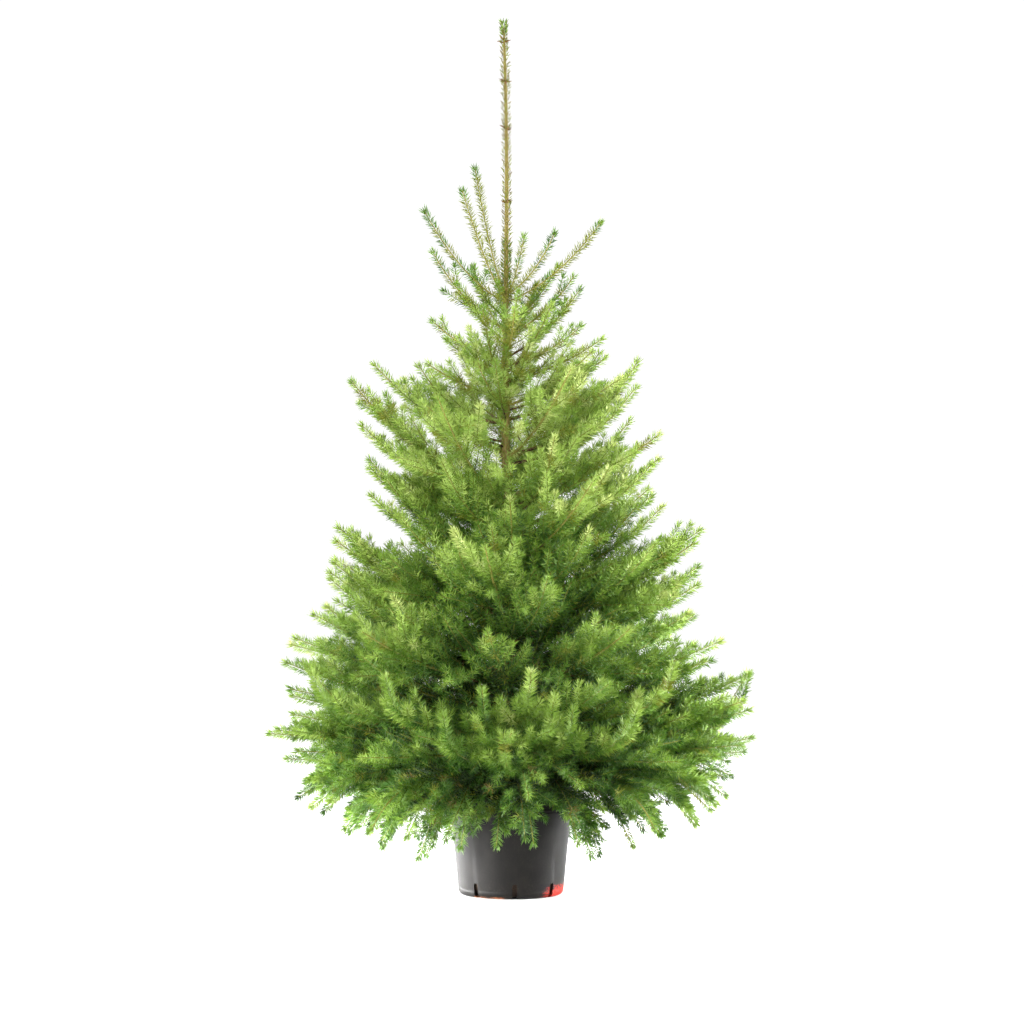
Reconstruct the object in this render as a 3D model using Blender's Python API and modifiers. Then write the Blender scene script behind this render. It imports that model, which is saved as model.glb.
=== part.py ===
"""A young spruce in a round nursery pot: pot, soil, trunk, lower boughs and foliage masses.

Metres, +Z up. The origin is the middle of the pot's flat underside. The tree is seen from the -Y side.
"""

import math
import random
from dataclasses import dataclass

import bmesh
import bpy
import numpy as np
from mathutils import Matrix, Vector

TREE_TOP = 1.752
GAP = 0.0003
UP = Vector((0.0, 0.0, 1.0))

POT_HEIGHT = 0.200
POT_RIM_RADIUS = 0.127
POT_TOP_RADIUS = 0.1235
POT_FOOT_RADIUS = 0.104
POT_WALL = 0.0025
POT_FLOOR = 0.004
POT_FOOT_ROUND = 0.012
RIM_DEPTH = 0.014
RIM_BEVEL = 0.0015
POT_STEPS = 32
FOOT_STEPS = 2
SMOOTH_UP_TO = math.radians(35.0)
SLOT_COUNT = 8
SLOT_TURN = math.radians(-86.0)
SLOT_WIDTH = 0.010
SLOT_TOP = 0.030
SLOT_BELOW = 0.004
SLOT_ROUND = 0.45
SLOT_ROUND_STEPS = 3
SLOT_INNER_RADIUS = 0.086
SLOT_OUTER_RADIUS = 0.112
SOIL_TOP = 0.184

TRUNK_TIP = 1.690
TRUNK_SIDES = 10
TRUNK_LEAN = -0.015
TRUNK_SWAY = 0.0035
TRUNK_SWAYS = 3.0
ROOT_FLARE = 0.0065
ROOT_FLARE_HEIGHT = 0.028
# Height on the trunk and radius there: straight tapers between them
TRUNK_TAPER = (
    (SOIL_TOP, 0.0150), (0.60, 0.0115), (0.90, 0.0088), (1.10, 0.0062), (1.192, 0.0047), (TRUNK_TIP, 0.0028),
)
TRUNK_BANDS_BELOW = 15
TRUNK_BANDS_CROWD_DOWN = 1.25
LEADER_FOOT = 1.250
LEADER_BANDS = 9
LEADER_NEEDLE = 0.0065
LEADER_NEEDLE_LEAN = 0.016
LEADER_ONE_FACE_IN = 3
TUFT_NEEDLE = 0.012
TUFT_ROWS = 4
TUFT_STEM_SHORT = 0.6

ROW_TWIST = math.radians(25.0)
NEEDLE_LEAN_BY_REACH = 1.25
NEEDLE_SIZES_TRIED = (1.0, 0.55)
NEEDLE_MARGIN = 0.0025
NEEDLE_CLEAR = 0.008
TWIG_ROOT_RADIUS = 0.0021
BEARING_ROOT_RADIUS = 0.0026
TWIG_TIP_RADIUS = 0.0012
ROOT_BY_PARENT = 0.55
BARE_ROOT = 0.009
STEM_TIP_RADIUS = 0.0014
LIMB_SIDES = 8
LIMB_BAND = 0.05
SHORTEST_TWIG = 0.045
TWIG_SIZES_TRIED = (1.0, 0.85, 0.7, 0.55, 0.42)
CORE_MARGIN = 0.008
ROOM_SAMPLES = 16
SPINE_SAMPLES = 24
TWIG_SAMPLES = 5


@dataclass(frozen=True)
class Kind:
    """What one kind of bough bears.

    limb is the share of its spine that is bare limb, and root the radius there. The side twigs come in
    pairs, with a spread in degrees and a ratio of their length to the spine's, and the first pair may be
    forks with twigs of their own. The rows of needles are pitch apart and reach needle outwards.
    """

    root: float
    pitch: float
    needle: float
    limb: float = 0.0
    pairs: int = 0
    spread: float = 0.0
    ratio: float = 0.0
    forks: bool = False


@dataclass(frozen=True)
class Whorl:
    """Boughs that leave the trunk near one height: reach and rise are those on the left and on the right."""

    name: str
    kind: Kind
    height: float
    azimuths: tuple
    reach: tuple
    rise: tuple
    lift: float


SHOOT = Kind(root=0.0021, pitch=0.026, needle=0.014)
TWIGGY = Kind(root=0.0028, pitch=0.036, needle=0.019, pairs=2, spread=42.0, ratio=0.42)
BRANCH = Kind(root=0.0036, pitch=0.052, needle=0.027, pairs=3, spread=46.0, ratio=0.50)
FAN = Kind(root=0.0062, pitch=0.060, needle=0.033, limb=0.17, pairs=2, spread=48.0, ratio=0.62, forks=True)
SKIRT = Kind(root=0.0040, pitch=0.060, needle=0.033, pairs=2, spread=46.0, ratio=0.56)

WHORL_STAGGER = 0.007
FACING_SHORTER = 0.10
# The six shoots of the top whorl: azimuth in degrees from +X, reach from the trunk, rise to the tip
TOP_WHORL_HEIGHT = 1.192
TOP_WHORL = (
    (0.0, 0.190, 0.158),
    (72.0, 0.120, 0.134),
    (114.0, 0.155, 0.266),
    (180.0, 0.163, 0.182),
    (236.0, 0.152, 0.204),
    (308.0, 0.156, 0.114),
)
WHORLS = (
    Whorl("crown_b", TWIGGY, 1.125, (350.0, 118.0, 198.0), (0.155, 0.140), (0.150, 0.115), 0.15),
    Whorl("crown_c", TWIGGY, 1.065, (34.0, 160.0, 276.0), (0.160, 0.190), (0.085, 0.085), 0.15),
    Whorl("crown_d", BRANCH, 0.985, (340.0, 82.0, 200.0, 250.0), (0.165, 0.185), (0.065, 0.105), 0.05),
    Whorl("crown_e", BRANCH, 0.880, (14.0, 128.0, 172.0, 300.0), (0.270, 0.255), (0.175, 0.170), 0.05),
    Whorl("middle_a", BRANCH, 0.785, (352.0, 64.0, 186.0, 244.0), (0.312, 0.308), (0.232, 0.140), 0.05),
    Whorl("middle_b", BRANCH, 0.665, (28.0, 106.0, 164.0, 300.0), (0.300, 0.340), (0.200, 0.150), 0.05),
    Whorl("lower_a", FAN, 0.550, (2.0, 74.0, 182.0, 262.0), (0.350, 0.370), (0.150, 0.160), 0.0),
    Whorl("lower_b", FAN, 0.425, (304.0, 28.0, 150.0, 228.0), (0.450, 0.430), (0.115, 0.125), 0.0),
    Whorl("lower_c", FAN, 0.290, (356.0, 92.0, 178.0, 270.0), (0.472, 0.464), (0.030, 0.105), -0.20),
    Whorl("skirt", SKIRT, 0.236, (318.0, 44.0, 136.0, 224.0), (0.385, 0.380), (-0.080, -0.075), -0.40),
)
# Where a spine's bend is drawn to: shares of its reach and its rise, or of its reach alone where it droops
BEND_RISING = (0.56, 0.26)
BEND_DROOPING = (0.78, 0.17)
BEND_ASIDE = 0.06
# The pairs of side twigs: their places along the spine, how far their lengths fade outwards, and their rolls
FIRST_PAIR, LAST_PAIR = 0.22, 0.64
FORK_PLACE = 0.05
TWIG_FADE = 1.25
PAIR_ROLLS = (-0.25, 0.65, 0.0)
PAIR_ROLL_DRAW = 0.2
FORK_TWIG_AT = (0.42, 0.66)
FORK_TWIG_RATIO = 0.50
FORK_TWIG_FADE = 1.2
FORK_TWIG_SPREAD = 44.0
FORK_TWIG_ROLL_DRAW = 0.3
# Twigs that stand up from a fan's spine or hang from it: place along it, side, and length by the spine's
CREST_TWIGS = ((0.20, 1.0, 0.34), (0.40, -1.0, 0.30))
CREST_SPREAD = 42.0
CREST_ROLL_DRAW = 0.4
PLACE_DRAW = 0.2
SPREAD_DRAW = 0.08
LENGTH_DRAW = 0.1
TWIG_TURNED, TWIG_AHEAD = 0.8, 0.3
TWIG_BEND = 0.4

COLOURS = {
    "pot": ((0.075, 0.073, 0.070), 0.45),
    "soil": ((0.045, 0.030, 0.020), 0.95),
    "bark": ((0.24, 0.17, 0.10), 0.85),
    "foliage": ((0.20, 0.36, 0.06), 0.60),
}


def clear_scene():
    for obj in list(bpy.data.objects):
        bpy.data.objects.remove(obj, do_unlink=True)


def new_collection(name):
    collection = bpy.data.collections.new(name)
    bpy.context.scene.collection.children.link(collection)
    return collection


def principled(name):
    colour, roughness = COLOURS[name]
    material = bpy.data.materials.get(name) or bpy.data.materials.new(name)
    material.use_nodes = True
    shader = material.node_tree.nodes["Principled BSDF"]
    shader.inputs["Base Color"].default_value = (*colour, 1.0)
    shader.inputs["Roughness"].default_value = roughness
    shader.inputs["Metallic"].default_value = 0.0
    return material


def object_from(bm, name, collection, material):
    bm.normal_update()
    bmesh.ops.recalc_face_normals(bm, faces=bm.faces)
    mesh = bpy.data.meshes.new(name)
    bm.to_mesh(mesh)
    bm.free()
    obj = bpy.data.objects.new(name, mesh)
    obj.data.materials.append(principled(material))
    collection.objects.link(obj)
    return obj


def applied(obj):
    """Replaces the object's mesh by the one its modifiers make."""
    bpy.context.view_layer.update()
    graph = bpy.context.evaluated_depsgraph_get()
    mesh = bpy.data.meshes.new_from_object(obj.evaluated_get(graph))
    obj.modifiers.clear()
    obj.data = mesh
    return obj


# The trunk's line and thickness
def trunk_axis(height):
    share = (height - SOIL_TOP) / (TREE_TOP - SOIL_TOP)
    sway = TRUNK_SWAY * math.sin(math.pi * TRUNK_SWAYS * share)
    return Vector((TRUNK_LEAN * share + sway, -sway, height))


def trunk_radius(height):
    flare = ROOT_FLARE * math.exp(-(height - SOIL_TOP) / ROOT_FLARE_HEIGHT)
    heights, radii = zip(*TRUNK_TAPER)
    return float(np.interp(height, heights, radii)) + flare


# Paths: a list of points and the length along them
class Path:
    def __init__(self, points):
        self.points = [Vector(p) for p in points]
        steps = [(b - a).length for a, b in zip(self.points, self.points[1:])]
        self.marks = np.concatenate([[0.0], np.cumsum(steps)])
        self.length = float(self.marks[-1])

    @classmethod
    def bent(cls, start, middle, end, samples=SPINE_SAMPLES):
        """A smooth bend from start to end, drawn towards middle."""
        shares = [i / samples for i in range(samples + 1)]
        return cls(start * (1 - s) ** 2 + middle * 2 * s * (1 - s) + end * s * s for s in shares)

    def at(self, share):
        mark = min(max(share, 0.0), 1.0) * self.length
        columns = zip(*self.points)
        return Vector([float(np.interp(mark, self.marks, column)) for column in columns])

    def heading(self, share):
        step = 0.02
        return (self.at(min(share + step, 1.0)) - self.at(max(share - step, 0.0))).normalized()

    def part(self, first, last, samples=SPINE_SAMPLES):
        shares = [first + (last - first) * i / samples for i in range(samples + 1)]
        return Path(self.at(s) for s in shares)


def across(heading):
    """The level direction to the left of a heading, and the one that completes the frame."""
    side = UP.cross(heading)
    if side.length < 1e-4:
        side = Vector((0.0, 1.0, 0.0))
    side.normalize()
    return side, heading.cross(side)


class Bough:
    """One limb of the tree: its root at the trunk, the line it follows and the foliage it bears."""

    def __init__(self, name, kind, height, azimuth, reach, rise, lift, seed):
        self.name, self.kind, self.lift = name, kind, lift
        self.random = random.Random(seed)
        angle = math.radians(azimuth)
        self.out = Vector((math.cos(angle), math.sin(angle), 0.0))
        axis = trunk_axis(height)
        root = axis + self.out * (trunk_radius(height) + GAP)
        tip = axis + self.out * reach + UP * rise
        droops = rise < 0.0
        bend_out, bend_up = BEND_DROOPING if droops else BEND_RISING
        aside = self.random.uniform(-BEND_ASIDE, BEND_ASIDE) * reach
        middle = axis + self.out * reach * bend_out + UP * (reach if droops else rise) * bend_up
        self.spine = Path.bent(root, middle + UP.cross(self.out) * aside, tip)

    def radius(self, share):
        return self.kind.root * (1.0 - share) + STEM_TIP_RADIUS * share


class Twig:
    """A stem or twig of a mass. One that bears others has four flat sides, and each leaves the middle of one.

    A side twig's first stretch, sunk in its parent, is bare, and the rest is cut into rows of needles.
    """

    def __init__(self, path, root_radius, tip_radius, pitch, bears, bare=0.0):
        self.path = path
        self.root_radius, self.tip_radius = root_radius, tip_radius
        self.bare = bare / path.length
        self.rows = max(1 if bare else 2, round((path.length - bare) / pitch))
        self.bands = self.rows + (1 if bare else 0)
        self.sides = 4 if bears else 3
        self.twist = 0.0 if bears else ROW_TWIST * self.rows

    def radius(self, share):
        return self.root_radius * (1.0 - share) + self.tip_radius * share

    def share_at(self, height):
        """The share of the path at a height on the straight rod, whose bands are all alike."""
        row = height * self.bands - (self.bands - self.rows)
        return self.bare * (1.0 + row) if row < 0.0 else self.bare + (1.0 - self.bare) * row / self.rows

    def in_row(self, share, shift):
        """The share at the middle of a row of needles, shifted by a part of the row."""
        row = min(int(share * self.rows), self.rows - 1)
        return self.bare + (1.0 - self.bare) * (row + 0.5 + shift) / self.rows


class Grower:
    """Grows the twigs of one bough's foliage, each where it finds room in the bough's space."""

    def __init__(self, bough, spaces):
        self.bough, self.spaces = bough, spaces
        self.kind, self.draw = bough.kind, bough.random
        starts = self.kind.limb + GAP / bough.spine.length if self.kind.limb else 0.0
        path = bough.spine.part(starts, 1.0)
        stem = Twig(path, bough.radius(starts), STEM_TIP_RADIUS, self.kind.pitch, self.kind.pairs > 0)
        self.twigs = [stem]
        for i in range(self.kind.pairs):
            self.grow_pair(stem, i)
        for place, side, ratio in CREST_TWIGS if self.kind.forks else ():
            roll = self.draw.uniform(-CREST_ROLL_DRAW, CREST_ROLL_DRAW)
            self.grow(stem, place, side, True, CREST_SPREAD, roll, ratio, False)

    def grow_pair(self, stem, i):
        fork = self.kind.forks and i == 0
        place = FIRST_PAIR + (LAST_PAIR - FIRST_PAIR) * i / (self.kind.pairs - 1)
        place = FORK_PLACE if fork else place
        for side in (-1.0, 1.0):
            roll = PAIR_ROLLS[i] + self.draw.uniform(-PAIR_ROLL_DRAW, PAIR_ROLL_DRAW)
            ratio = self.kind.ratio * (TWIG_FADE - place)
            twig = self.grow(stem, place, side, False, self.kind.spread, roll, ratio, fork)
            if not fork or twig is None:
                continue
            for j, at in enumerate(FORK_TWIG_AT):
                inner = side if j % 2 else -side
                roll = PAIR_ROLLS[j] + self.draw.uniform(-FORK_TWIG_ROLL_DRAW, FORK_TWIG_ROLL_DRAW)
                ratio = FORK_TWIG_RATIO * (FORK_TWIG_FADE - at)
                self.grow(twig, at, inner, False, FORK_TWIG_SPREAD, roll, ratio, False)

    def grow(self, parent, place, side, crest, spread, roll, ratio, bears):
        """Adds a twig that leaves one flat side of its parent and bends by its roll and lift."""
        share = parent.in_row(place, self.draw.uniform(-PLACE_DRAW, PLACE_DRAW))
        angle = math.radians(spread) * self.draw.uniform(1.0 - SPREAD_DRAW, 1.0 + SPREAD_DRAW)
        length = parent.path.length * ratio * self.draw.uniform(1.0 - LENGTH_DRAW, 1.0 + LENGTH_DRAW)
        start, heading = parent.path.at(share), parent.path.heading(share)
        level, over = across(heading)
        flat, other = (over * side, level) if crest else (level * side, over)
        out = heading * math.cos(angle) + flat * math.sin(angle)
        rolled = flat * math.cos(roll) + other * math.sin(roll)
        turned = heading * math.cos(angle) + rolled * math.sin(angle)
        aim = (turned * TWIG_TURNED + heading * TWIG_AHEAD + UP * self.bough.lift).normalized()
        whole = Path.bent(start, start + out * length * TWIG_BEND, start + aim * length, TWIG_SAMPLES * 2)
        widest = BEARING_ROOT_RADIUS if bears else TWIG_ROOT_RADIUS
        root_radius = min(widest, parent.radius(share) * ROOT_BY_PARENT)
        tip_radius = min(TWIG_TIP_RADIUS, root_radius)
        for size in TWIG_SIZES_TRIED:
            path = whole.part(0.0, size, TWIG_SAMPLES)
            if path.length < SHORTEST_TWIG:
                return None
            if all(self.spaces.holds(self.bough, point, CORE_MARGIN) for point in path.points[1:]):
                twig = Twig(path, root_radius, tip_radius, self.kind.pitch, bears, BARE_ROOT)
                self.twigs.append(twig)
                return twig
        return None


# The space that each mass keeps to
class Spaces:
    """Divides the crown: a point belongs to the bough whose spine is nearest."""

    def __init__(self, boughs):
        self.boughs = boughs
        samples = [[tuple(b.spine.at(i / SPINE_SAMPLES)) for i in range(SPINE_SAMPLES + 1)] for b in boughs]
        self.starts, self.ends = np.array(samples)[:, :-1], np.array(samples)[:, 1:]

    def distances(self, point):
        """The distance from a point to each spine, along straight stretches between its samples."""
        along = self.ends - self.starts
        to_point = np.array(tuple(point)) - self.starts
        share = (to_point * along).sum(2) / (along * along).sum(2)
        nearest = self.starts + along * np.clip(share, 0.0, 1.0)[..., None]
        return np.linalg.norm(np.array(tuple(point)) - nearest, axis=2).min(1)

    def holds(self, bough, point, margin):
        """True where the point is in the bough's own space by the margin, and clear of trunk and pot."""
        axis = trunk_axis(point.z)
        from_trunk = math.hypot(point.x - axis.x, point.y - axis.y)
        needles = LEADER_NEEDLE if point.z > LEADER_FOOT - LEADER_NEEDLE_LEAN else 0.0
        if from_trunk < trunk_radius(max(point.z, SOIL_TOP)) + needles + margin:
            return False
        if point.z < POT_HEIGHT + margin and math.hypot(point.x, point.y) < POT_RIM_RADIUS + margin:
            return False
        distances = self.distances(point)
        own = self.boughs.index(bough)
        return bool(np.delete(distances, own).min() > distances[own] + margin)


# Solids along a path
def straight_rod(sides, bands):
    """A closed rod of radius 1 from height 0 to 1, cut into bands. Four sides face the X and Y axes."""
    bm = bmesh.new()
    turn = Matrix.Rotation(math.pi / sides if sides == 4 else 0.0, 4, "Z")
    bmesh.ops.create_cone(
        bm, cap_ends=True, segments=sides, radius1=1.0, radius2=1.0, depth=1.0,
        matrix=Matrix.Translation((0.0, 0.0, 0.5)) @ turn,
    )
    lengthwise = [e for e in bm.edges if abs(e.verts[0].co.z - e.verts[1].co.z) > 0.5]
    if bands > 1:
        bmesh.ops.subdivide_edges(bm, edges=lengthwise, cuts=bands - 1)
    return bm


def frame_at(path, share, twist):
    heading = path.heading(share)
    side, over = across(heading)
    turned = side * math.cos(twist) + over * math.sin(twist)
    return path.at(share), heading, turned, heading.cross(turned)


class Room:
    """Keeps the needles of one mass clear of its twigs and of each other, so that few of them cross."""

    def __init__(self, paths):
        shares = [i / ROOM_SAMPLES for i in range(ROOM_SAMPLES + 1)]
        self.paths = [np.array([tuple(path.at(share)) for share in shares]) for path in paths]
        self.needles = [np.empty((0, 3)) for _ in paths]

    def take(self, own, root, tip):
        """Claims the room for a needle of the given rod, and says whether it was free."""
        points = np.array([tuple(root.lerp(tip, share)) for share in (0.5, 0.75, 1.0)])
        others = [rod for i, rods in enumerate(zip(self.paths, self.needles)) if i != own for rod in rods]
        if others:
            gaps = np.linalg.norm(np.concatenate(others)[:, None] - points[None], axis=2)
            if gaps.min() < NEEDLE_CLEAR:
                return False
        self.needles[own] = np.concatenate([self.needles[own], points])
        return True


def needled_rod(twig, takes, reach):
    """A twig's rod, whose side faces are each drawn out into a needle where there is room for it."""
    bm = straight_rod(twig.sides, twig.bands)
    tips = {}
    for face in list(bm.faces):
        centre = face.calc_center_median()
        share = twig.share_at(centre.z)
        if abs(face.normal.z) > 0.5 or share < twig.bare:
            continue
        angle = math.atan2(centre.y, centre.x)
        place, heading, side, over = frame_at(twig.path, share, twig.twist * share)
        radial = side * math.cos(angle) + over * math.sin(angle)
        for size in NEEDLE_SIZES_TRIED:
            tip = place + (radial + heading * NEEDLE_LEAN_BY_REACH) * reach * size
            if takes(place, tip):
                tips[bmesh.ops.poke(bm, faces=[face])["verts"][0]] = tip
                break
    for vert in bm.verts:
        if vert in tips:
            vert.co = tips[vert]
            continue
        x, y, height = vert.co
        share = twig.share_at(height)
        place, _, side, over = frame_at(twig.path, share, twig.twist * share)
        vert.co = place + (side * x + over * y) * twig.radius(share)
    return bm


def seat_on_trunk(bm, bough, sides):
    """Slides a limb's root ring along the limb into the upright plane just clear of the trunk."""
    root, heading = bough.spine.at(0.0), bough.spine.heading(0.0)
    for vert in sorted(bm.verts, key=lambda v: (v.co - root).length)[:sides]:
        off = (vert.co - root).dot(bough.out)
        vert.co -= heading * (off / heading.dot(bough.out))


def solid_limb(bough, collection):
    """The bare inner part of a bough, seated on the trunk and cut square where its foliage begins."""
    limb = bough.spine.part(0.0, bough.kind.limb)
    bm = straight_rod(LIMB_SIDES, max(2, round(limb.length / LIMB_BAND)))
    for vert in bm.verts:
        x, y, share = vert.co
        place, _, side, over = frame_at(limb, share, 0.0)
        vert.co = place + (side * x + over * y) * bough.radius(share * bough.kind.limb)
    seat_on_trunk(bm, bough, LIMB_SIDES)
    return object_from(bm, "bough_" + bough.name, collection, "bark")


def keep_outer_shell(obj):
    """Drops sealed hollows and loose scraps that a union leaves, keeping the largest shell."""
    bm = bmesh.new()
    bm.from_mesh(obj.data)
    left, shells = set(bm.verts), []
    while left:
        shell, front = set(), [left.pop()]
        while front:
            vert = front.pop()
            shell.add(vert)
            near = {e.other_vert(vert) for e in vert.link_edges} & left
            left -= near
            front.extend(near)
        shells.append(shell)
    shells.sort(key=len, reverse=True)
    for shell in shells[1:]:
        bmesh.ops.delete(bm, geom=list(shell), context="VERTS")
    bm.to_mesh(obj.data)
    bm.free()


def fused(name, rods, collection):
    """One solid from a stem and its twigs, whose roots are sunk in each other."""
    stem = object_from(rods[0], name, collection, "foliage")
    if len(rods) == 1:
        return stem
    twigs = new_collection(name + "_twigs")
    for i, rod in enumerate(rods[1:]):
        object_from(rod, f"{name}_twig_{i}", twigs, "foliage")
    union = stem.modifiers.new("fuse", "BOOLEAN")
    union.operation = "UNION"
    union.operand_type = "COLLECTION"
    union.collection = twigs
    union.solver = "EXACT"
    applied(stem)
    for obj in list(twigs.objects):
        bpy.data.objects.remove(obj, do_unlink=True)
    bpy.data.collections.remove(twigs)
    keep_outer_shell(stem)
    return stem


def solid_mass(bough, spaces, collection):
    """A bough's foliage: its stem and its twigs, each set with needles."""
    twigs = Grower(bough, spaces).twigs
    room = Room([twig.path for twig in twigs])
    rods = []
    for own, twig in enumerate(twigs):

        def takes(root, tip):
            return spaces.holds(bough, tip, NEEDLE_MARGIN) and room.take(own, root, tip)

        rods.append(needled_rod(twig, takes, bough.kind.needle))
    if not bough.kind.limb:
        seat_on_trunk(rods[0], bough, twigs[0].sides)
    return fused("mass_" + bough.name, rods, collection)


# The plan of the crown
def plan_boughs():
    boughs = []
    for i, (azimuth, reach, rise) in enumerate(TOP_WHORL):
        height = TOP_WHORL_HEIGHT + WHORL_STAGGER * (i % 3 - 1)
        boughs.append(Bough(f"crown_a{i + 1}", SHOOT, height, azimuth, reach, rise, 0.0, 100 + i))
    for row, whorl in enumerate(WHORLS):
        for i, azimuth in enumerate(whorl.azimuths):
            seed = 1000 + 20 * row + i
            rightward = 0.5 + 0.5 * math.cos(math.radians(azimuth))
            reach = whorl.reach[0] + (whorl.reach[1] - whorl.reach[0]) * rightward
            rise = whorl.rise[0] + (whorl.rise[1] - whorl.rise[0]) * rightward
            facing = abs(math.sin(math.radians(azimuth)))
            reach *= 1.0 - FACING_SHORTER * facing * random.Random(seed).random()
            height = whorl.height + WHORL_STAGGER * (i % 3 - 1)
            name = f"{whorl.name}{i + 1}"
            boughs.append(Bough(name, whorl.kind, height, azimuth, reach, rise, whorl.lift, seed + 7))
    return boughs


# The trunk and the leader's tuft
def trunk_height(share):
    """The height of a share of the straight rod: bands crowd to the foot, and the leader's are alike."""
    bands = share * (TRUNK_BANDS_BELOW + LEADER_BANDS)
    if bands <= TRUNK_BANDS_BELOW:
        lower = (bands / TRUNK_BANDS_BELOW) ** TRUNK_BANDS_CROWD_DOWN
        return SOIL_TOP + GAP + (LEADER_FOOT - SOIL_TOP - GAP) * lower
    return LEADER_FOOT + (TRUNK_TIP - LEADER_FOOT) * (bands - TRUNK_BANDS_BELOW) / LEADER_BANDS


def solid_trunk(collection):
    """The trunk from the soil to the leader's tuft, with needles drawn out of some of the leader's faces."""
    bm = straight_rod(TRUNK_SIDES, TRUNK_BANDS_BELOW + LEADER_BANDS)
    tips = {}
    for face in list(bm.faces):
        centre = face.calc_center_median()
        height = trunk_height(centre.z)
        row = int(centre.z * (TRUNK_BANDS_BELOW + LEADER_BANDS))
        column = int(math.atan2(centre.y, centre.x) % math.tau / math.tau * TRUNK_SIDES)
        if abs(face.normal.z) > 0.5 or height < LEADER_FOOT or (row + column) % LEADER_ONE_FACE_IN:
            continue
        radial = Vector((centre.x, centre.y, 0.0)).normalized()
        tip = trunk_axis(height) + radial * (trunk_radius(height) + LEADER_NEEDLE) + UP * LEADER_NEEDLE_LEAN
        tips[bmesh.ops.poke(bm, faces=[face])["verts"][0]] = tip
    for vert in bm.verts:
        if vert in tips:
            vert.co = tips[vert]
            continue
        x, y, share = vert.co
        height = trunk_height(share)
        vert.co = trunk_axis(height) + Vector((x, y, 0.0)) * trunk_radius(height)
    return object_from(bm, "trunk", collection, "bark")


def solid_leader_tuft(collection):
    """The leader's last stretch, set thick with needles up to the tree's top."""
    stem_top = TREE_TOP - TUFT_NEEDLE * NEEDLE_LEAN_BY_REACH * TUFT_STEM_SHORT
    stem = Path([trunk_axis(TRUNK_TIP + GAP), trunk_axis(stem_top)])
    twig = Twig(stem, trunk_radius(TRUNK_TIP), TWIG_TIP_RADIUS, stem.length / TUFT_ROWS, False)
    rod = needled_rod(twig, lambda root, tip: True, TUFT_NEEDLE)
    return object_from(rod, "mass_leader_tuft", collection, "foliage")


# The pot and its soil
def turned(name, profile, collection, material):
    """A solid turned about the Z axis from a closed profile of (radius, height) points."""
    mesh = bpy.data.meshes.new(name)
    count = len(profile)
    mesh.from_pydata([(r, 0.0, z) for r, z in profile], [(i, i + 1) for i in range(count - 1)], [])
    obj = bpy.data.objects.new(name, mesh)
    obj.data.materials.append(principled(material))
    collection.objects.link(obj)
    screw = obj.modifiers.new("turn", "SCREW")
    screw.angle = math.tau
    screw.steps = screw.render_steps = POT_STEPS
    screw.use_merge_vertices = True
    screw.merge_threshold = 0.00005
    screw.use_normal_calculate = True
    applied(obj)
    bm = bmesh.new()
    bm.from_mesh(obj.data)
    bmesh.ops.remove_doubles(bm, verts=bm.verts, dist=0.00001)
    bmesh.ops.recalc_face_normals(bm, faces=bm.faces)
    bm.to_mesh(obj.data)
    bm.free()
    return obj


def pot_radius(height):
    """The outer wall's radius at a height, above its rounded foot."""
    return POT_FOOT_RADIUS + (POT_TOP_RADIUS - POT_FOOT_RADIUS) * height / POT_HEIGHT


def foot_round(inset):
    """The rounded corner at the pot's foot, from the wall down to the underside, drawn in by inset."""
    size = POT_FOOT_ROUND - inset
    middle_r = pot_radius(POT_FOOT_ROUND) - POT_FOOT_ROUND
    angles = [math.pi / 2 * i / FOOT_STEPS for i in range(FOOT_STEPS + 1)]
    return [(middle_r + size * math.cos(a), POT_FOOT_ROUND - size * math.sin(a)) for a in angles]


def slot_cutter(turn, cutters):
    """An upright slot with a round top, through the wall and the foot's corner."""
    bm = bmesh.new()
    depth = SLOT_OUTER_RADIUS - SLOT_INNER_RADIUS
    bmesh.ops.create_cube(bm, size=1.0)
    box = Matrix.Diagonal((depth, SLOT_WIDTH, SLOT_TOP + SLOT_BELOW, 1.0))
    bmesh.ops.transform(bm, matrix=box, verts=bm.verts)
    top = [e for e in bm.edges if all(v.co.z > 0 for v in e.verts) and e.calc_length() > SLOT_WIDTH * 1.01]
    bmesh.ops.bevel(
        bm, geom=top, offset=SLOT_WIDTH * SLOT_ROUND, segments=SLOT_ROUND_STEPS, profile=0.5, affect="EDGES",
        material=-1,
    )
    middle = (SLOT_OUTER_RADIUS + SLOT_INNER_RADIUS) / 2
    move = Matrix.Rotation(turn, 4, "Z") @ Matrix.Translation((middle, 0.0, (SLOT_TOP - SLOT_BELOW) / 2))
    bmesh.ops.transform(bm, matrix=move, verts=bm.verts)
    cutter = object_from(bm, f"slot_cutter_{round(math.degrees(turn))}", cutters, "pot")
    cutter.hide_render = True
    cutter.display_type = "WIRE"


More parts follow.
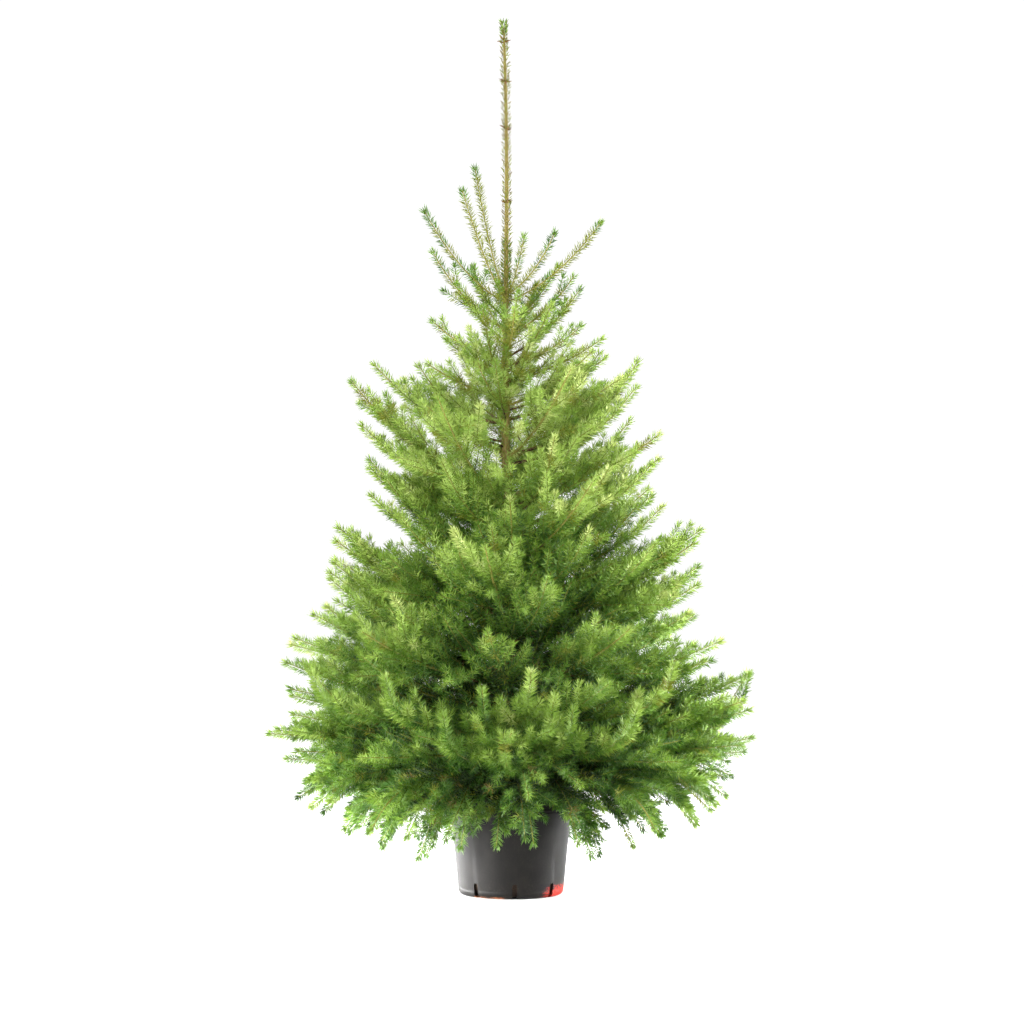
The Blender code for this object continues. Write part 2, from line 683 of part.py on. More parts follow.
def solid_pot(collection):
    inner_top = POT_TOP_RADIUS - POT_WALL
    inner_foot = foot_round(POT_WALL)
    outer = [
        (POT_RIM_RADIUS - RIM_BEVEL, POT_HEIGHT),
        (POT_RIM_RADIUS, POT_HEIGHT - RIM_BEVEL),
        (POT_RIM_RADIUS, POT_HEIGHT - RIM_DEPTH),
        (pot_radius(POT_HEIGHT - RIM_DEPTH), POT_HEIGHT - RIM_DEPTH),
        *foot_round(0.0),
        (0.0, 0.0),
    ]
    inside = [
        (0.0, POT_FLOOR),
        (inner_foot[-1][0], POT_FLOOR),
        (inner_foot[0][0], POT_FOOT_ROUND + POT_FLOOR),
        (inner_top, POT_HEIGHT - RIM_DEPTH),
        (inner_top, POT_HEIGHT),
        (POT_RIM_RADIUS - RIM_BEVEL, POT_HEIGHT),
    ]
    pot = turned("pot", outer + inside, collection, "pot")
    cutters = new_collection("pot_cutters")
    for i in range(SLOT_COUNT):
        slot_cutter(SLOT_TURN + math.tau * i / SLOT_COUNT, cutters)
    cut = pot.modifiers.new("slots", "BOOLEAN")
    cut.operation = "DIFFERENCE"
    cut.operand_type = "COLLECTION"
    cut.collection = cutters
    cut.solver = "EXACT"
    pot.data.set_sharp_from_angle(angle=SMOOTH_UP_TO)
    pot.data.shade_smooth()
    return pot


def solid_soil(collection):
    """The root ball's soil, from just above the pot's floor to a finger's breadth under the rim."""
    corner_top = POT_FOOT_ROUND + POT_FLOOR + GAP
    foot_radius = foot_round(POT_WALL)[0][0]
    slope = (POT_TOP_RADIUS - POT_WALL - foot_radius) / (POT_HEIGHT - RIM_DEPTH - corner_top)
    profile = [
        (0.0, SOIL_TOP),
        (foot_radius - 2 * GAP + slope * (SOIL_TOP - corner_top), SOIL_TOP),
        (foot_radius - 2 * GAP, corner_top),
        (foot_round(POT_WALL + 2 * GAP)[-1][0], POT_FLOOR + GAP),
        (0.0, POT_FLOOR + GAP),
    ]
    return turned("soil", profile, collection, "soil")


def main():
    clear_scene()
    tree = new_collection("potted_spruce")
    solid_pot(tree)
    solid_soil(tree)
    solid_trunk(tree)
    solid_leader_tuft(tree)
    boughs = plan_boughs()
    spaces = Spaces(boughs)
    for bough in boughs:
        if bough.kind.limb:
            solid_limb(bough, tree)
        solid_mass(bough, spaces, tree)


main()
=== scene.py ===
"""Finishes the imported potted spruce: bark, twigs, needles, the nursery pot and its soil, on a pale studio floor.

Metres, in the frame's own axes: +Z up, the pot's underside at 0, and the tree seen from the -Y side. Every
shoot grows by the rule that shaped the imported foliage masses, and keeps to the same spaces.
"""

import logging
import math
import random
from dataclasses import dataclass, field
from enum import Enum
from typing import Iterator, Sequence

import bmesh
import bpy
import numpy as np
from mathutils import Matrix, Vector, noise


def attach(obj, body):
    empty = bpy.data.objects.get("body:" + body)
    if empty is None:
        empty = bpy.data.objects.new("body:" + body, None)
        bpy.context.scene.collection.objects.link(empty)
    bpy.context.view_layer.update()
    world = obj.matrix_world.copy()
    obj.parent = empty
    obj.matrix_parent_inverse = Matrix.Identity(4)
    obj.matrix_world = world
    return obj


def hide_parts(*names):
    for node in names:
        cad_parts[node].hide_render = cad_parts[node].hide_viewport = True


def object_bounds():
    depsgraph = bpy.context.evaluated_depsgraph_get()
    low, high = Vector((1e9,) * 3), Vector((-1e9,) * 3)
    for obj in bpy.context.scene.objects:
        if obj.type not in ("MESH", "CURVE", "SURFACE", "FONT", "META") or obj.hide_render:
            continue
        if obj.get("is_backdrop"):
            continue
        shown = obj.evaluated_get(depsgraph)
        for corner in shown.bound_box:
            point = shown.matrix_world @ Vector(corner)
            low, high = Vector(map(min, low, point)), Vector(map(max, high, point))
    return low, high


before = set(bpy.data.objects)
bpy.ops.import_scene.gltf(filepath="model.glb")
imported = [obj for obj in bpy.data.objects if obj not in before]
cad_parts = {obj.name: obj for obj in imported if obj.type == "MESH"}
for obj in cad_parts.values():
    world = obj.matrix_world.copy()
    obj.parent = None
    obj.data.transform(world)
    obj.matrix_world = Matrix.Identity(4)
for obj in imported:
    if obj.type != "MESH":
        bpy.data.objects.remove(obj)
CAD_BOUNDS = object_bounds()

LOG = logging.getLogger("potted_spruce")
UP = np.array((0.0, 0.0, 1.0))
GOLDEN_TURN = math.tau * (1.0 - 1.0 / 1.618033988749895)
MOST_TRIANGLES = 190_000

Pair = tuple[float, float]
Triple = tuple[float, float, float]
Colour = Triple
Knots = tuple[Pair, ...]
Rows = tuple[tuple[float, float, float, float], ...]
SMOOTH_BELOW = math.radians(40.0)
WELD = 0.00002


def srgb(red: int, green: int, blue: int) -> Colour:
    """The linear colour of a screen colour in steps of 0 to 255."""
    shares = (red / 255.0, green / 255.0, blue / 255.0)
    return tuple(s / 12.92 if s <= 0.04045 else ((s + 0.055) / 1.055) ** 2.4 for s in shares)


def unit(vectors: np.ndarray) -> np.ndarray:
    """The vectors at length 1."""
    return vectors / np.linalg.norm(vectors, axis=-1, keepdims=True)


# ---------------------------------------------------------------- shaders


class Value:
    """A shader socket in arithmetic: every operator adds the Math node that it needs."""

    def __init__(self, graph: "Graph", socket: bpy.types.NodeSocket) -> None:
        """Wraps one output socket of a graph."""
        self.graph = graph
        self.socket = socket

    def math(self, operation: str, first: "Value | float", second: "Value | float" = 0.0) -> "Value":
        """One Math node on two values."""
        return self.graph.node("ShaderNodeMath", {"operation": operation}, {0: first, 1: second})

    def __add__(self, other: "Value | float") -> "Value":
        """self + other."""
        return self.math("ADD", self, other)

    def __sub__(self, other: "Value | float") -> "Value":
        """self - other."""
        return self.math("SUBTRACT", self, other)

    def __rsub__(self, other: float) -> "Value":
        """other - self."""
        return self.math("SUBTRACT", other, self)

    def __mul__(self, other: "Value | float") -> "Value":
        """self * other."""
        return self.math("MULTIPLY", self, other)

    __radd__ = __add__
    __rmul__ = __mul__

    def ramped(self, low: float, high: float) -> "Value":
        """Rises smoothly from 0 at low to 1 at high, or falls where low is the higher."""
        steps = {"interpolation_type": "SMOOTHSTEP"}
        return self.graph.node("ShaderNodeMapRange", steps, {0: self, 1: low, 2: high, 3: 0.0, 4: 1.0})


class Graph:
    """The node tree of one material."""

    def __init__(self, name: str, colour: Colour, roughness: float) -> None:
        """Starts a Principled material.

        Args:
            name: The material's name.
            colour: Its plain base colour, linear.
            roughness: Its plain roughness.
        """
        self.material = bpy.data.materials.new(name)
        self.material.use_nodes = True
        self.tree = self.material.node_tree
        self.shader = self.tree.nodes["Principled BSDF"]
        self.material.diffuse_color = (*colour, 1.0)
        self.feed("Base Color", (*colour, 1.0))
        self.feed("Roughness", roughness)

    def feed(self, name: str, value: "Value | float | tuple") -> None:
        """Sets or links one socket of the Principled shader."""
        self.plug(self.shader.inputs[name], value)

    def plug(self, socket: bpy.types.NodeSocket, value: "Value | float | tuple") -> None:
        """Sets a socket to a plain value, or links a Value to it."""
        if isinstance(value, Value):
            self.tree.links.new(value.socket, socket)
        else:
            socket.default_value = value

    def node(self, kind: str, settings: dict, inputs: dict, output: int | str = 0) -> Value:
        """Adds a node.

        Args:
            kind: The node's type.
            settings: Its settings, set before its sockets.
            inputs: The values or links of its sockets, by index or name.
            output: The output to return.

        Returns:
            The output as a Value.
        """
        node = self.tree.nodes.new(kind)
        for name, value in settings.items():
            setattr(node, name, value)
        for key, value in inputs.items():
            self.plug(node.inputs[key], value)
        return Value(self, node.outputs[output])

    def mix(self, factor: "Value | float", first: "Value | Colour", second: "Value | Colour") -> Value:
        """A colour between two others."""
        first, second = (colour if isinstance(colour, Value) else (*colour, 1.0) for colour in (first, second))
        return self.node("ShaderNodeMix", {"data_type": "RGBA"}, {0: factor, 6: first, 7: second}, 2)

    def place(self, stretch: Triple = (1.0, 1.0, 1.0)) -> Value:
        """The Object coordinates, stretched along each axis."""
        where = self.node("ShaderNodeTexCoord", {}, {}, "Object")
        return self.node("ShaderNodeMapping", {}, {"Vector": where, "Scale": stretch})

    def cloud(self, place: Value, scale: float, detail: float = 4.0, rough: float = 0.6) -> Value:
        """Noise of a scale in lumps to the metre."""
        sizes = {"Vector": place, "Scale": scale, "Detail": detail, "Roughness": rough}
        return self.node("ShaderNodeTexNoise", {}, sizes)

    def axis(self, place: Value, name: str) -> Value:
        """One coordinate of a place."""
        return self.node("ShaderNodeSeparateXYZ", {}, {0: place}, name)

    def relief(self, height: Value, strength: float, distance: float) -> None:
        """Bumps the surface by a height."""
        sizes = {"Height": height, "Strength": strength, "Distance": distance}
        self.feed("Normal", self.node("ShaderNodeBump", {}, sizes))


# ---------------------------------------------------------------- finishes


class Tint(Enum):
    """The plain colours that are dealt out to the needles by spray, from the crown's depth to its tips: the darker
    ones are painted shade inside the crown, the lighter ones painted light up the crown, besides the lighter young
    growth.
    """

    SHADE = srgb(28, 52, 8)
    DEEP = srgb(52, 88, 18)
    LEAF = srgb(86, 122, 34)
    FRESH = srgb(118, 150, 52)
    LIGHT = srgb(146, 172, 76)
    YOUNG = srgb(172, 188, 104)
    OLIVE = srgb(118, 126, 34)
    STRAW = srgb(112, 98, 44)

    @property
    def number(self) -> int:
        """Its place among the tints."""
        return list(Tint).index(self)


GREENS = (Tint.SHADE, Tint.DEEP, Tint.LEAF, Tint.FRESH, Tint.LIGHT, Tint.YOUNG)


@dataclass(frozen=True)
class PlainFinish:
    """One plain colour: the smooth rind of young twigs, the scales of buds, or waxy needles."""

    name: str
    colour: Colour
    roughness: float = 0.7
    gloss: float = 0.2

    @classmethod
    def of_needles(cls, tint: Tint) -> "PlainFinish":
        """The waxy needles' finish in one tint."""
        return cls(f"needle_{tint.name.lower()}", tint.value, roughness=0.46, gloss=0.32)

    def material(self) -> bpy.types.Material:
        """The material."""
        graph = Graph(self.name, self.colour, self.roughness)
        graph.feed("Specular IOR Level", self.gloss)
        return graph.material


@dataclass(frozen=True)
class BarkFinish:
    """Flaking brown bark on old wood, olive and smooth on young: the "age" attribute runs from 0 to 1."""

    name: str = "spruce_bark"
    old: Colour = srgb(88, 66, 44)
    ridge: Colour = srgb(128, 102, 72)
    crack: Colour = srgb(44, 32, 22)
    young: Colour = srgb(122, 118, 52)
    bloom: Colour = srgb(140, 132, 70)

    def material(self) -> bpy.types.Material:
        """The bark's material."""
        graph = Graph(self.name, self.old, 0.85)
        graph.feed("Specular IOR Level", 0.25)
        place = graph.place()
        along = graph.place((1.0, 1.0, 0.22))
        flakes = graph.cloud(along, 420.0, 5.0, 0.65)
        blotches = graph.cloud(place, 60.0, 3.0)
        cracks = graph.cloud(along, 190.0, 4.0).ramped(0.52, 0.40)
        age = graph.node("ShaderNodeAttribute", {"attribute_name": "age"}, {}, "Fac")
        wood = graph.mix(flakes.ramped(0.40, 0.68), self.old, self.ridge)
        wood = graph.mix(cracks * 0.85, wood, self.crack)
        wood = graph.mix(blotches.ramped(0.45, 0.75) * 0.3, wood, self.young)
        rind = graph.mix(flakes.ramped(0.35, 0.75), self.young, self.bloom)
        graph.feed("Base Color", graph.mix((age + (blotches - 0.5) * 0.5).ramped(0.25, 0.75), rind, wood))
        graph.feed("Roughness", 0.72 + flakes * 0.25)
        graph.relief(flakes * (0.35 + age * 0.65) - cracks * age * 0.5, 0.8, 0.0012)
        return graph.material


@dataclass(frozen=True)
class PotFinish:
    """Charcoal moulded plastic, dusty towards the foot, with a plain red patch, dark marks and an orange trace.

    Each stain has a turn, the angles in degrees from +X that it lies between, and a top, the height it fades at.
    """

    plastic: Colour = srgb(15, 14, 13)
    worn: Colour = srgb(24, 22, 20)
    dust: Colour = srgb(40, 37, 33)
    patch: Colour = srgb(138, 32, 20)
    residue: Colour = srgb(176, 108, 66)
    mark: Colour = srgb(12, 10, 14)
    patch_turn: Pair = (-50.0, -8.0)
    patch_top: float = 0.0225
    mark_turn: Pair = (-58.0, -34.0)
    mark_top: float = 0.031
    residue_turn: Pair = (-136.0, -98.0)
    residue_top: float = 0.0038
    soft_edge: float = 0.02
    # How far noise shifts the patch, the marks and the trace round the pot
    patch_wander: float = 1.2
    mark_wander: float = 0.25
    residue_wander: float = 0.2
    # How far two noises shift the stains' tops, and how much further the patch's is torn
    ragged: Pair = (0.016, 0.012)
    torn: float = 0.035

    def band(self, turn: Value, edges: Pair) -> Value:
        """1 between two angles round the pot, in degrees from +X, with soft edges."""
        low, high = math.radians(edges[0]), math.radians(edges[1])
        soft = self.soft_edge
        return turn.ramped(low - soft, low + soft) * turn.ramped(high + soft, high - soft)

    def material(self) -> bpy.types.Material:
        """The pot's material."""
        graph = Graph("nursery_pot_plastic", self.plastic, 0.42)
        graph.feed("Specular IOR Level", 0.10)
        place = graph.place()
        x, y, z = (graph.axis(place, name) for name in "XYZ")
        turn = x.math("ARCTAN2", y, x)
        fine = graph.cloud(place, 900.0, 3.0)
        cloudy = graph.cloud(place, 26.0, 5.0, 0.6)
        streaks = graph.cloud(graph.place((1.0, 1.0, 0.08)), 160.0, 4.0)
        splash = graph.cloud(place, 240.0, 5.0, 0.7)
        low = z.ramped(0.050, 0.004)
        surface = graph.mix(cloudy.ramped(0.42, 0.70) * 0.6, self.plastic, self.worn)
        surface = graph.mix(streaks.ramped(0.50, 0.72) * 0.35, surface, self.worn)
        surface = graph.mix(splash.ramped(0.50, 0.66) * (0.12 + low * 0.45), surface, self.dust)
        ragged = z + (splash - 0.5) * self.ragged[0] + (cloudy - 0.5) * self.ragged[1]
        worn_through = splash.ramped(0.62, 0.56)
        patch = self.band(turn + (splash - 0.5) * self.patch_wander, self.patch_turn)
        torn = ragged + (splash - 0.5) * self.torn
        patch = patch * torn.ramped(self.patch_top, self.patch_top - 0.002) * worn_through
        trace = self.band(turn + (splash - 0.5) * self.residue_wander, self.residue_turn)
        trace = trace * ragged.ramped(self.residue_top, self.residue_top - 0.003) * splash.ramped(0.42, 0.52)
        surface = graph.mix(patch * 0.92, surface, self.patch)
        marks = self.band(turn + (cloudy - 0.5) * self.mark_wander, self.mark_turn) * splash.ramped(0.49, 0.51)
        marks = marks * z.ramped(self.mark_top, self.mark_top - 0.004) * z.ramped(0.010, 0.018)
        surface = graph.mix(marks * 0.9, surface, self.mark)
        graph.feed("Base Color", graph.mix(trace * 0.8, surface, self.residue))
        graph.feed("Roughness", 0.36 + cloudy * 0.12 + splash * 0.10 + patch * 0.15)
        graph.relief(fine * 0.35 + streaks * 0.4 + cloudy, 0.35, 0.0006)
        return graph.material


@dataclass(frozen=True)
class SoilFinish:
    """Damp peat with paler fibres and grains."""

    peat: Colour = srgb(46, 34, 25)
    fibre: Colour = srgb(112, 84, 56)

    def material(self) -> bpy.types.Material:
        """The soil's material."""
        graph = Graph("potting_soil", self.peat, 0.95)
        place = graph.place()
        lumps = graph.cloud(place, 220.0, 6.0, 0.7)
        grains = graph.cloud(place, 900.0, 4.0, 0.7)
        surface = graph.mix(grains.ramped(0.52, 0.72) * 0.7, self.peat, self.fibre)
        graph.feed("Base Color", surface)
        graph.feed("Roughness", 0.82 + grains * 0.16)
        graph.relief(lumps + grains * 0.4, 0.9, 0.002)
        return graph.material


# ---------------------------------------------------------------- pieces


def carried(piece: bpy.types.Object, nodes: Sequence[str]) -> bpy.types.Object:
    """Makes a finished piece ride with the plant and stand for its nodes, whose CAD parts it hides."""
    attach(piece, "root")
    if nodes:
        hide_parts(*nodes)
    LOG.info("%s: %d faces", piece.name, len(piece.data.polygons))
    return piece


def new_object(name: str, mesh: bpy.types.Mesh, material: bpy.types.Material) -> bpy.types.Object:
    """An object at the origin that shows a mesh in one material."""
    mesh.materials.append(material)
    piece = bpy.data.objects.new(name, mesh)
    bpy.context.scene.collection.objects.link(piece)
    return piece


def from_bmesh(name: str, bm: bmesh.types.BMesh, material: bpy.types.Material) -> bpy.types.Object:
    """An object from a bmesh, its faces turned outwards and smooth but for sharp corners."""
    bm.normal_update()
    bmesh.ops.recalc_face_normals(bm, faces=bm.faces)
    mesh = bpy.data.meshes.new(name)
    bm.to_mesh(mesh)
    bm.free()
    return new_object(name, rounded(mesh), material)


def rounded(mesh: bpy.types.Mesh) -> bpy.types.Mesh:
    """The mesh, smooth but for sharp corners."""
    mesh.shade_smooth()
    mesh.set_sharp_from_angle(angle=SMOOTH_BELOW)
    return mesh


def poured(part: bmesh.types.BMesh, whole: bmesh.types.BMesh) -> None:
    """Adds a bmesh to another one and frees it."""
    mesh = bpy.data.meshes.new("part")
    part.to_mesh(mesh)
    part.free()
    whole.from_mesh(mesh)
    bpy.data.meshes.remove(mesh)


def turned(outline: Sequence[Pair], steps: int) -> bmesh.types.BMesh:
    """A round solid from an outline of radii and heights that starts and ends on the axis."""
    bm = bmesh.new()
    verts = [bm.verts.new((radius, 0.0, height)) for radius, height in outline]
    edges = [bm.edges.new(pair) for pair in zip(verts, verts[1:])]
    bmesh.ops.spin(
        bm, geom=verts + edges, cent=(0.0, 0.0, 0.0), axis=(0.0, 0.0, 1.0), angle=math.tau, steps=steps,
        use_merge=True,
    )
    bmesh.ops.remove_doubles(bm, verts=bm.verts, dist=WELD)
    return bm


def set_ages(mesh: bpy.types.Mesh, ages: Sequence[float]) -> None:
    """Gives each point of a mesh the age of its bark."""
    mesh.attributes.new("age", "FLOAT", "POINT").data.foreach_set("value", np.asarray(ages, np.float32))


def from_arrays(
    name: str, points: np.ndarray, triangles: np.ndarray, material: bpy.types.Material
) -> bpy.types.Object:
    """An object from many small shapes whose points and triangles are joined in arrays."""
    mesh = bpy.data.meshes.new(name)
    mesh.vertices.add(len(points))
    mesh.vertices.foreach_set("co", points.astype(np.float32).ravel())
    mesh.loops.add(triangles.size)
    mesh.loops.foreach_set("vertex_index", triangles.astype(np.int32).ravel())
    mesh.polygons.add(len(triangles))
    mesh.polygons.foreach_set("loop_start", np.arange(0, triangles.size, 3, dtype=np.int32))
    mesh.update(calc_edges=True)
    return new_object(name, mesh, material)


# ---------------------------------------------------------------- the growth rule


class Path:
    """A line through points, walked by shares of its length."""

    def __init__(self, points: np.ndarray) -> None:
        """Measures the line through the points."""
        self.points = points
        steps = np.linalg.norm(np.diff(points, axis=0), axis=1)
        self.marks = np.concatenate([[0.0], np.cumsum(steps)])
        self.length = float(self.marks[-1])

    @classmethod
    def bent(cls, start: np.ndarray, middle: np.ndarray, end: np.ndarray, samples: int) -> "Path":
        """A smooth bend from start to end, drawn towards middle."""
        s = np.linspace(0.0, 1.0, samples + 1)[:, None]
        return cls(start * (1.0 - s) ** 2 + middle * 2.0 * s * (1.0 - s) + end * s * s)

    def at(self, shares: "float | np.ndarray") -> np.ndarray:
        """The points at shares of the length."""
        marks = np.clip(shares, 0.0, 1.0) * self.length
        return np.stack([np.interp(marks, self.marks, column) for column in self.points.T], axis=-1)

    def heading(self, share: float) -> np.ndarray:
        """The line's direction at a share of its length."""
        step = 0.02
        return unit(self.at(min(share + step, 1.0)) - self.at(max(share - step, 0.0)))

    def part(self, first: float, last: float, samples: int) -> "Path":
        """The stretch between two shares."""
        return Path(self.at(np.linspace(first, last, samples + 1)))


def across(heading: np.ndarray) -> tuple[np.ndarray, np.ndarray]:
    """The level directions to the left of headings, and the ones that complete the frames."""
    side = np.cross(UP, heading)
    size = np.linalg.norm(side, axis=-1, keepdims=True)
    side = np.where(size < 1e-4, np.array((0.0, 1.0, 0.0)), side / np.maximum(size, 1e-9))
    return side, np.cross(heading, side)


@dataclass(frozen=True)
class Lay:
    """How a twig lies on its parent: its place, side, spread, roll and length, and whether it is off the crest."""

    share: float
    side: float
    spread: float
    roll: float
    length: float
    crest: bool = False


@dataclass(frozen=True)
class Rule:
    """The rule by which every twig of the tree leaves the one that bears it."""

    turned: float = 0.8
    ahead: float = 0.3
    bend: float = 0.4

    def sprout(self, parent: Path, lay: Lay, lift: float, samples: int) -> Path:
        """The path of a twig.

        Args:
            parent: The line that bears it.
            lay: How it lies there.
            lift: How far its tip is drawn up, or down where it is negative.
            samples: The stretches that its path is cut into.

        Returns:
            The twig's line, from the middle of its parent.
        """
        start, heading = parent.at(lay.share), parent.heading(lay.share)
        level, over = across(heading)
        flat, other = (over * lay.side, level) if lay.crest else (level * lay.side, over)
        ahead, aside = heading * math.cos(lay.spread), math.sin(lay.spread)
        rolled = flat * math.cos(lay.roll) + other * math.sin(lay.roll)
        aim = unit((ahead + rolled * aside) * self.turned + heading * self.ahead + UP * lift)
        middle = start + (ahead + flat * aside) * lay.length * self.bend
        return Path.bent(start, middle, start + aim * lay.length, samples)


@dataclass(frozen=True)
class Branching:
    """How the shoots of one order bear finer ones, in loose whorls.

    gap is the way between whorls, free_root and free_tip the parent's unbranched ends, ratio a shoot's length
    to the parent's length beyond it, and longest and shortest their limits. rolls holds how far each shoot of
    a whorl is rolled up from the level on its side, which alternates.
    """

    gap: float
    free_root: float
    free_tip: float
    ratio: float
    longest: float
    rolls: tuple[float, ...]
    shortest: float = 0.032


@dataclass(frozen=True)
class Kind:
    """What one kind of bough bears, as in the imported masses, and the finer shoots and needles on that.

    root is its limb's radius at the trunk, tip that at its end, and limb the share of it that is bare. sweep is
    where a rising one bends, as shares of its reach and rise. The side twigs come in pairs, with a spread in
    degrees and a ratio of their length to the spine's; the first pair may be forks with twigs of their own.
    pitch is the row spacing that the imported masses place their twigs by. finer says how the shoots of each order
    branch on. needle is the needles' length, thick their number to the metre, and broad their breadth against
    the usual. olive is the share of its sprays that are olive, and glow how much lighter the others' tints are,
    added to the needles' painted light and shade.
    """

    root: float
    pitch: float
    needle: float
    thick: float
    limb: float = 0.0
    pairs: int = 0
    spread: float = 0.0
    ratio: float = 0.0
    forks: bool = False
    olive: float = 0.05
    finer: tuple[Branching, ...] = ()
    tip: float = 0.0014
    sweep: Pair = (0.56, 0.26)
    broad: float = 1.0
    glow: float = 0.0


@dataclass(frozen=True)
class Whorl:
    """Boughs that leave the trunk near one height: reach and rise are those on the left and on the right."""

    name: str
    kind: Kind
    height: float
    azimuths: tuple[float, ...]
    reach: Pair
    rise: Pair
    lift: float


BUSHY = (
    Branching(0.046, 0.020, 0.095, 0.64, 0.24, (0.1, 0.1, 0.85, -0.6)),
    Branching(0.050, 0.014, 0.075, 0.60, 0.13, (0.1, 0.5)),
    Branching(0.048, 0.012, 0.060, 0.55, 0.08, (0.1, 0.4)),
)
OPEN = (
    Branching(0.046, 0.045, 0.120, 0.56, 0.19, (0.05, 0.05, 0.6)),
    Branching(0.050, 0.014, 0.080, 0.58, 0.10, (0.1, 0.7)),
)
LOOSE = (
    Branching(0.044, 0.030, 0.085, 0.62, 0.19, (0.1, 0.1, 0.8)),
    Branching(0.056, 0.014, 0.065, 0.62, 0.11, (0.1, 0.3)),
)
CLOSE = (
    Branching(0.036, 0.024, 0.060, 0.66, 0.13, (0.1, 0.1, 0.6)),
    Branching(0.042, 0.012, 0.048, 0.62, 0.08, (0.1, 0.3)),
)
SPARE = (Branching(0.042, 0.030, 0.070, 0.58, 0.12, (0.1, 0.1, 0.9)),)
CLEAN = (Branching(0.050, 0.030, 0.115, 0.52, 0.14, (0.1, 0.1, 0.7)),)
SHOOT = Kind(root=0.0021, pitch=0.026, needle=0.0150, thick=1000.0, olive=0.85, broad=1.3, glow=-0.08)
TWIGGY = Kind(
    root=0.0028, pitch=0.036, needle=0.0150, thick=900.0, pairs=2, spread=42.0, ratio=0.42, olive=0.6, broad=1.25,
    glow=-0.06,
)
BRANCH = Kind(
    root=0.0036, pitch=0.052, needle=0.0160, thick=1180.0, pairs=3, spread=46.0, ratio=0.50, olive=0.15, finer=OPEN
)
FAN = Kind(
    root=0.0062, pitch=0.060, needle=0.0165, thick=1150.0, limb=0.17, pairs=2, spread=48.0, ratio=0.62, forks=True,
    finer=BUSHY,
)
SKIRT = Kind(root=0.0040, pitch=0.060, needle=0.0165, thick=1130.0, pairs=2, spread=46.0, ratio=0.56, finer=BUSHY)
SWEPT = (0.66, 0.10)
BETWEEN = Kind(root=0.0034, pitch=0.060, needle=0.0165, thick=1060.0, finer=LOOSE, tip=0.0009, sweep=SWEPT)
UPTURNED = Kind(
    root=0.0032, pitch=0.060, needle=0.0190, thick=1500.0, finer=CLEAN, tip=0.0009, sweep=(1.0, -0.08), glow=0.10
)
HANGING = Kind(
    root=0.0030, pitch=0.060, needle=0.0160, thick=1400.0, finer=CLOSE[:1], tip=0.0009, broad=1.15, glow=0.03
)
INSIDE = Kind(root=0.0022, pitch=0.060, needle=0.0160, thick=1750.0, finer=CLOSE, tip=0.0009)
SLENDER = Kind(root=0.0026, pitch=0.036, needle=0.0150, thick=900.0, olive=0.4, finer=SPARE, tip=0.0009, broad=1.2)


@dataclass(frozen=True)
class Trunk:
    """The trunk's line and taper, and its bark."""

    soil_top: float = 0.184
    tree_top: float = 1.752
    tip: float = 1.690
    lean: float = -0.015
    sway: float = 0.0035
    sways: float = 3.0
    flare: float = 0.0065
    flare_height: float = 0.028
    # Height and radius: straight tapers between them
    taper: Knots = (
        (0.184, 0.0150), (0.60, 0.0115), (0.90, 0.0088), (1.10, 0.0062), (1.192, 0.0047), (1.690, 0.0028),
    )
    gap: float = 0.0003
    sides: int = 20
    bands: int = 380
    relief: float = 0.09
    flake_height: float = 0.010
    full_relief: float = 0.015
    least_relief: float = 0.4
    furrows: float = 2.2
    collar: float = 0.35
    collar_height: float = 0.011
    stem_end: float = 1.732
    # How much thinner the end is than the taper, and the height over which it thins
    tip_thinner: float = 0.45
    tip_height: float = 0.040
    sunk: float = 0.004
    young_from: float = 0.66
    young_at: float = 1.04

    def axis(self, heights: "float | np.ndarray") -> np.ndarray:
        """The points of the trunk's middle line at heights."""
        heights = np.asarray(heights, float)
        share = (heights - self.soil_top) / (self.tree_top - self.soil_top)
        sway = self.sway * np.sin(np.pi * self.sways * share)
        return np.stack([self.lean * share + sway, -sway, heights], axis=-1)

    def radius(self, heights: "float | np.ndarray") -> "float | np.ndarray":
        """The trunk's radius at heights."""
        knots, radii = zip(*self.taper)
        flare = self.flare * np.exp(-(np.asarray(heights) - self.soil_top) / self.flare_height)
        return np.interp(heights, knots, radii) + flare

    def build(self, finish: BarkFinish, boughs: "Sequence[Bough]") -> bpy.types.Object:
        """The trunk's bark in relief, swollen in a collar round each bough's root."""
        bm = straight_rod(self.sides, self.bands)
        roots = [(b.spine.points[0][2], math.atan2(b.out[1], b.out[0])) for b in boughs]
        for vert in bm.verts:
            x, y, share = vert.co
            height = self.soil_top - self.sunk + (self.stem_end + self.sunk - self.soil_top) * share
            turn = math.atan2(y, x)
            swell = sum(
                math.exp(-(((height - z) / self.collar_height) ** 2)) * max(math.cos(turn - a), 0.0) ** 4
                for z, a in roots
                if abs(height - z) < 3.0 * self.collar_height
            )
            grain = Vector((x * self.furrows, y * self.furrows, height / self.flake_height))
            rough = noise.fractal(grain, 1.0, 2.0, 3)
            radius = float(self.radius(max(height, self.soil_top)))
            depth = self.relief * (self.least_relief + radius / self.full_relief)
            radius *= 1.0 + depth * rough + self.collar * min(swell, 1.0)
            radius *= 1.0 - self.tip_thinner * min(max(height - self.tip, 0.0) / self.tip_height, 1.0)
            vert.co = Vector(self.axis(height)) + Vector((x, y, 0.0)) * radius
        piece = from_bmesh("trunk_bark", bm, finish.material())
        span = self.young_at - self.young_from
        set_ages(piece.data, [min(max((self.young_at - v.co.z) / span, 0.0), 1.0) for v in piece.data.vertices])
        return carried(piece, ["trunk"])


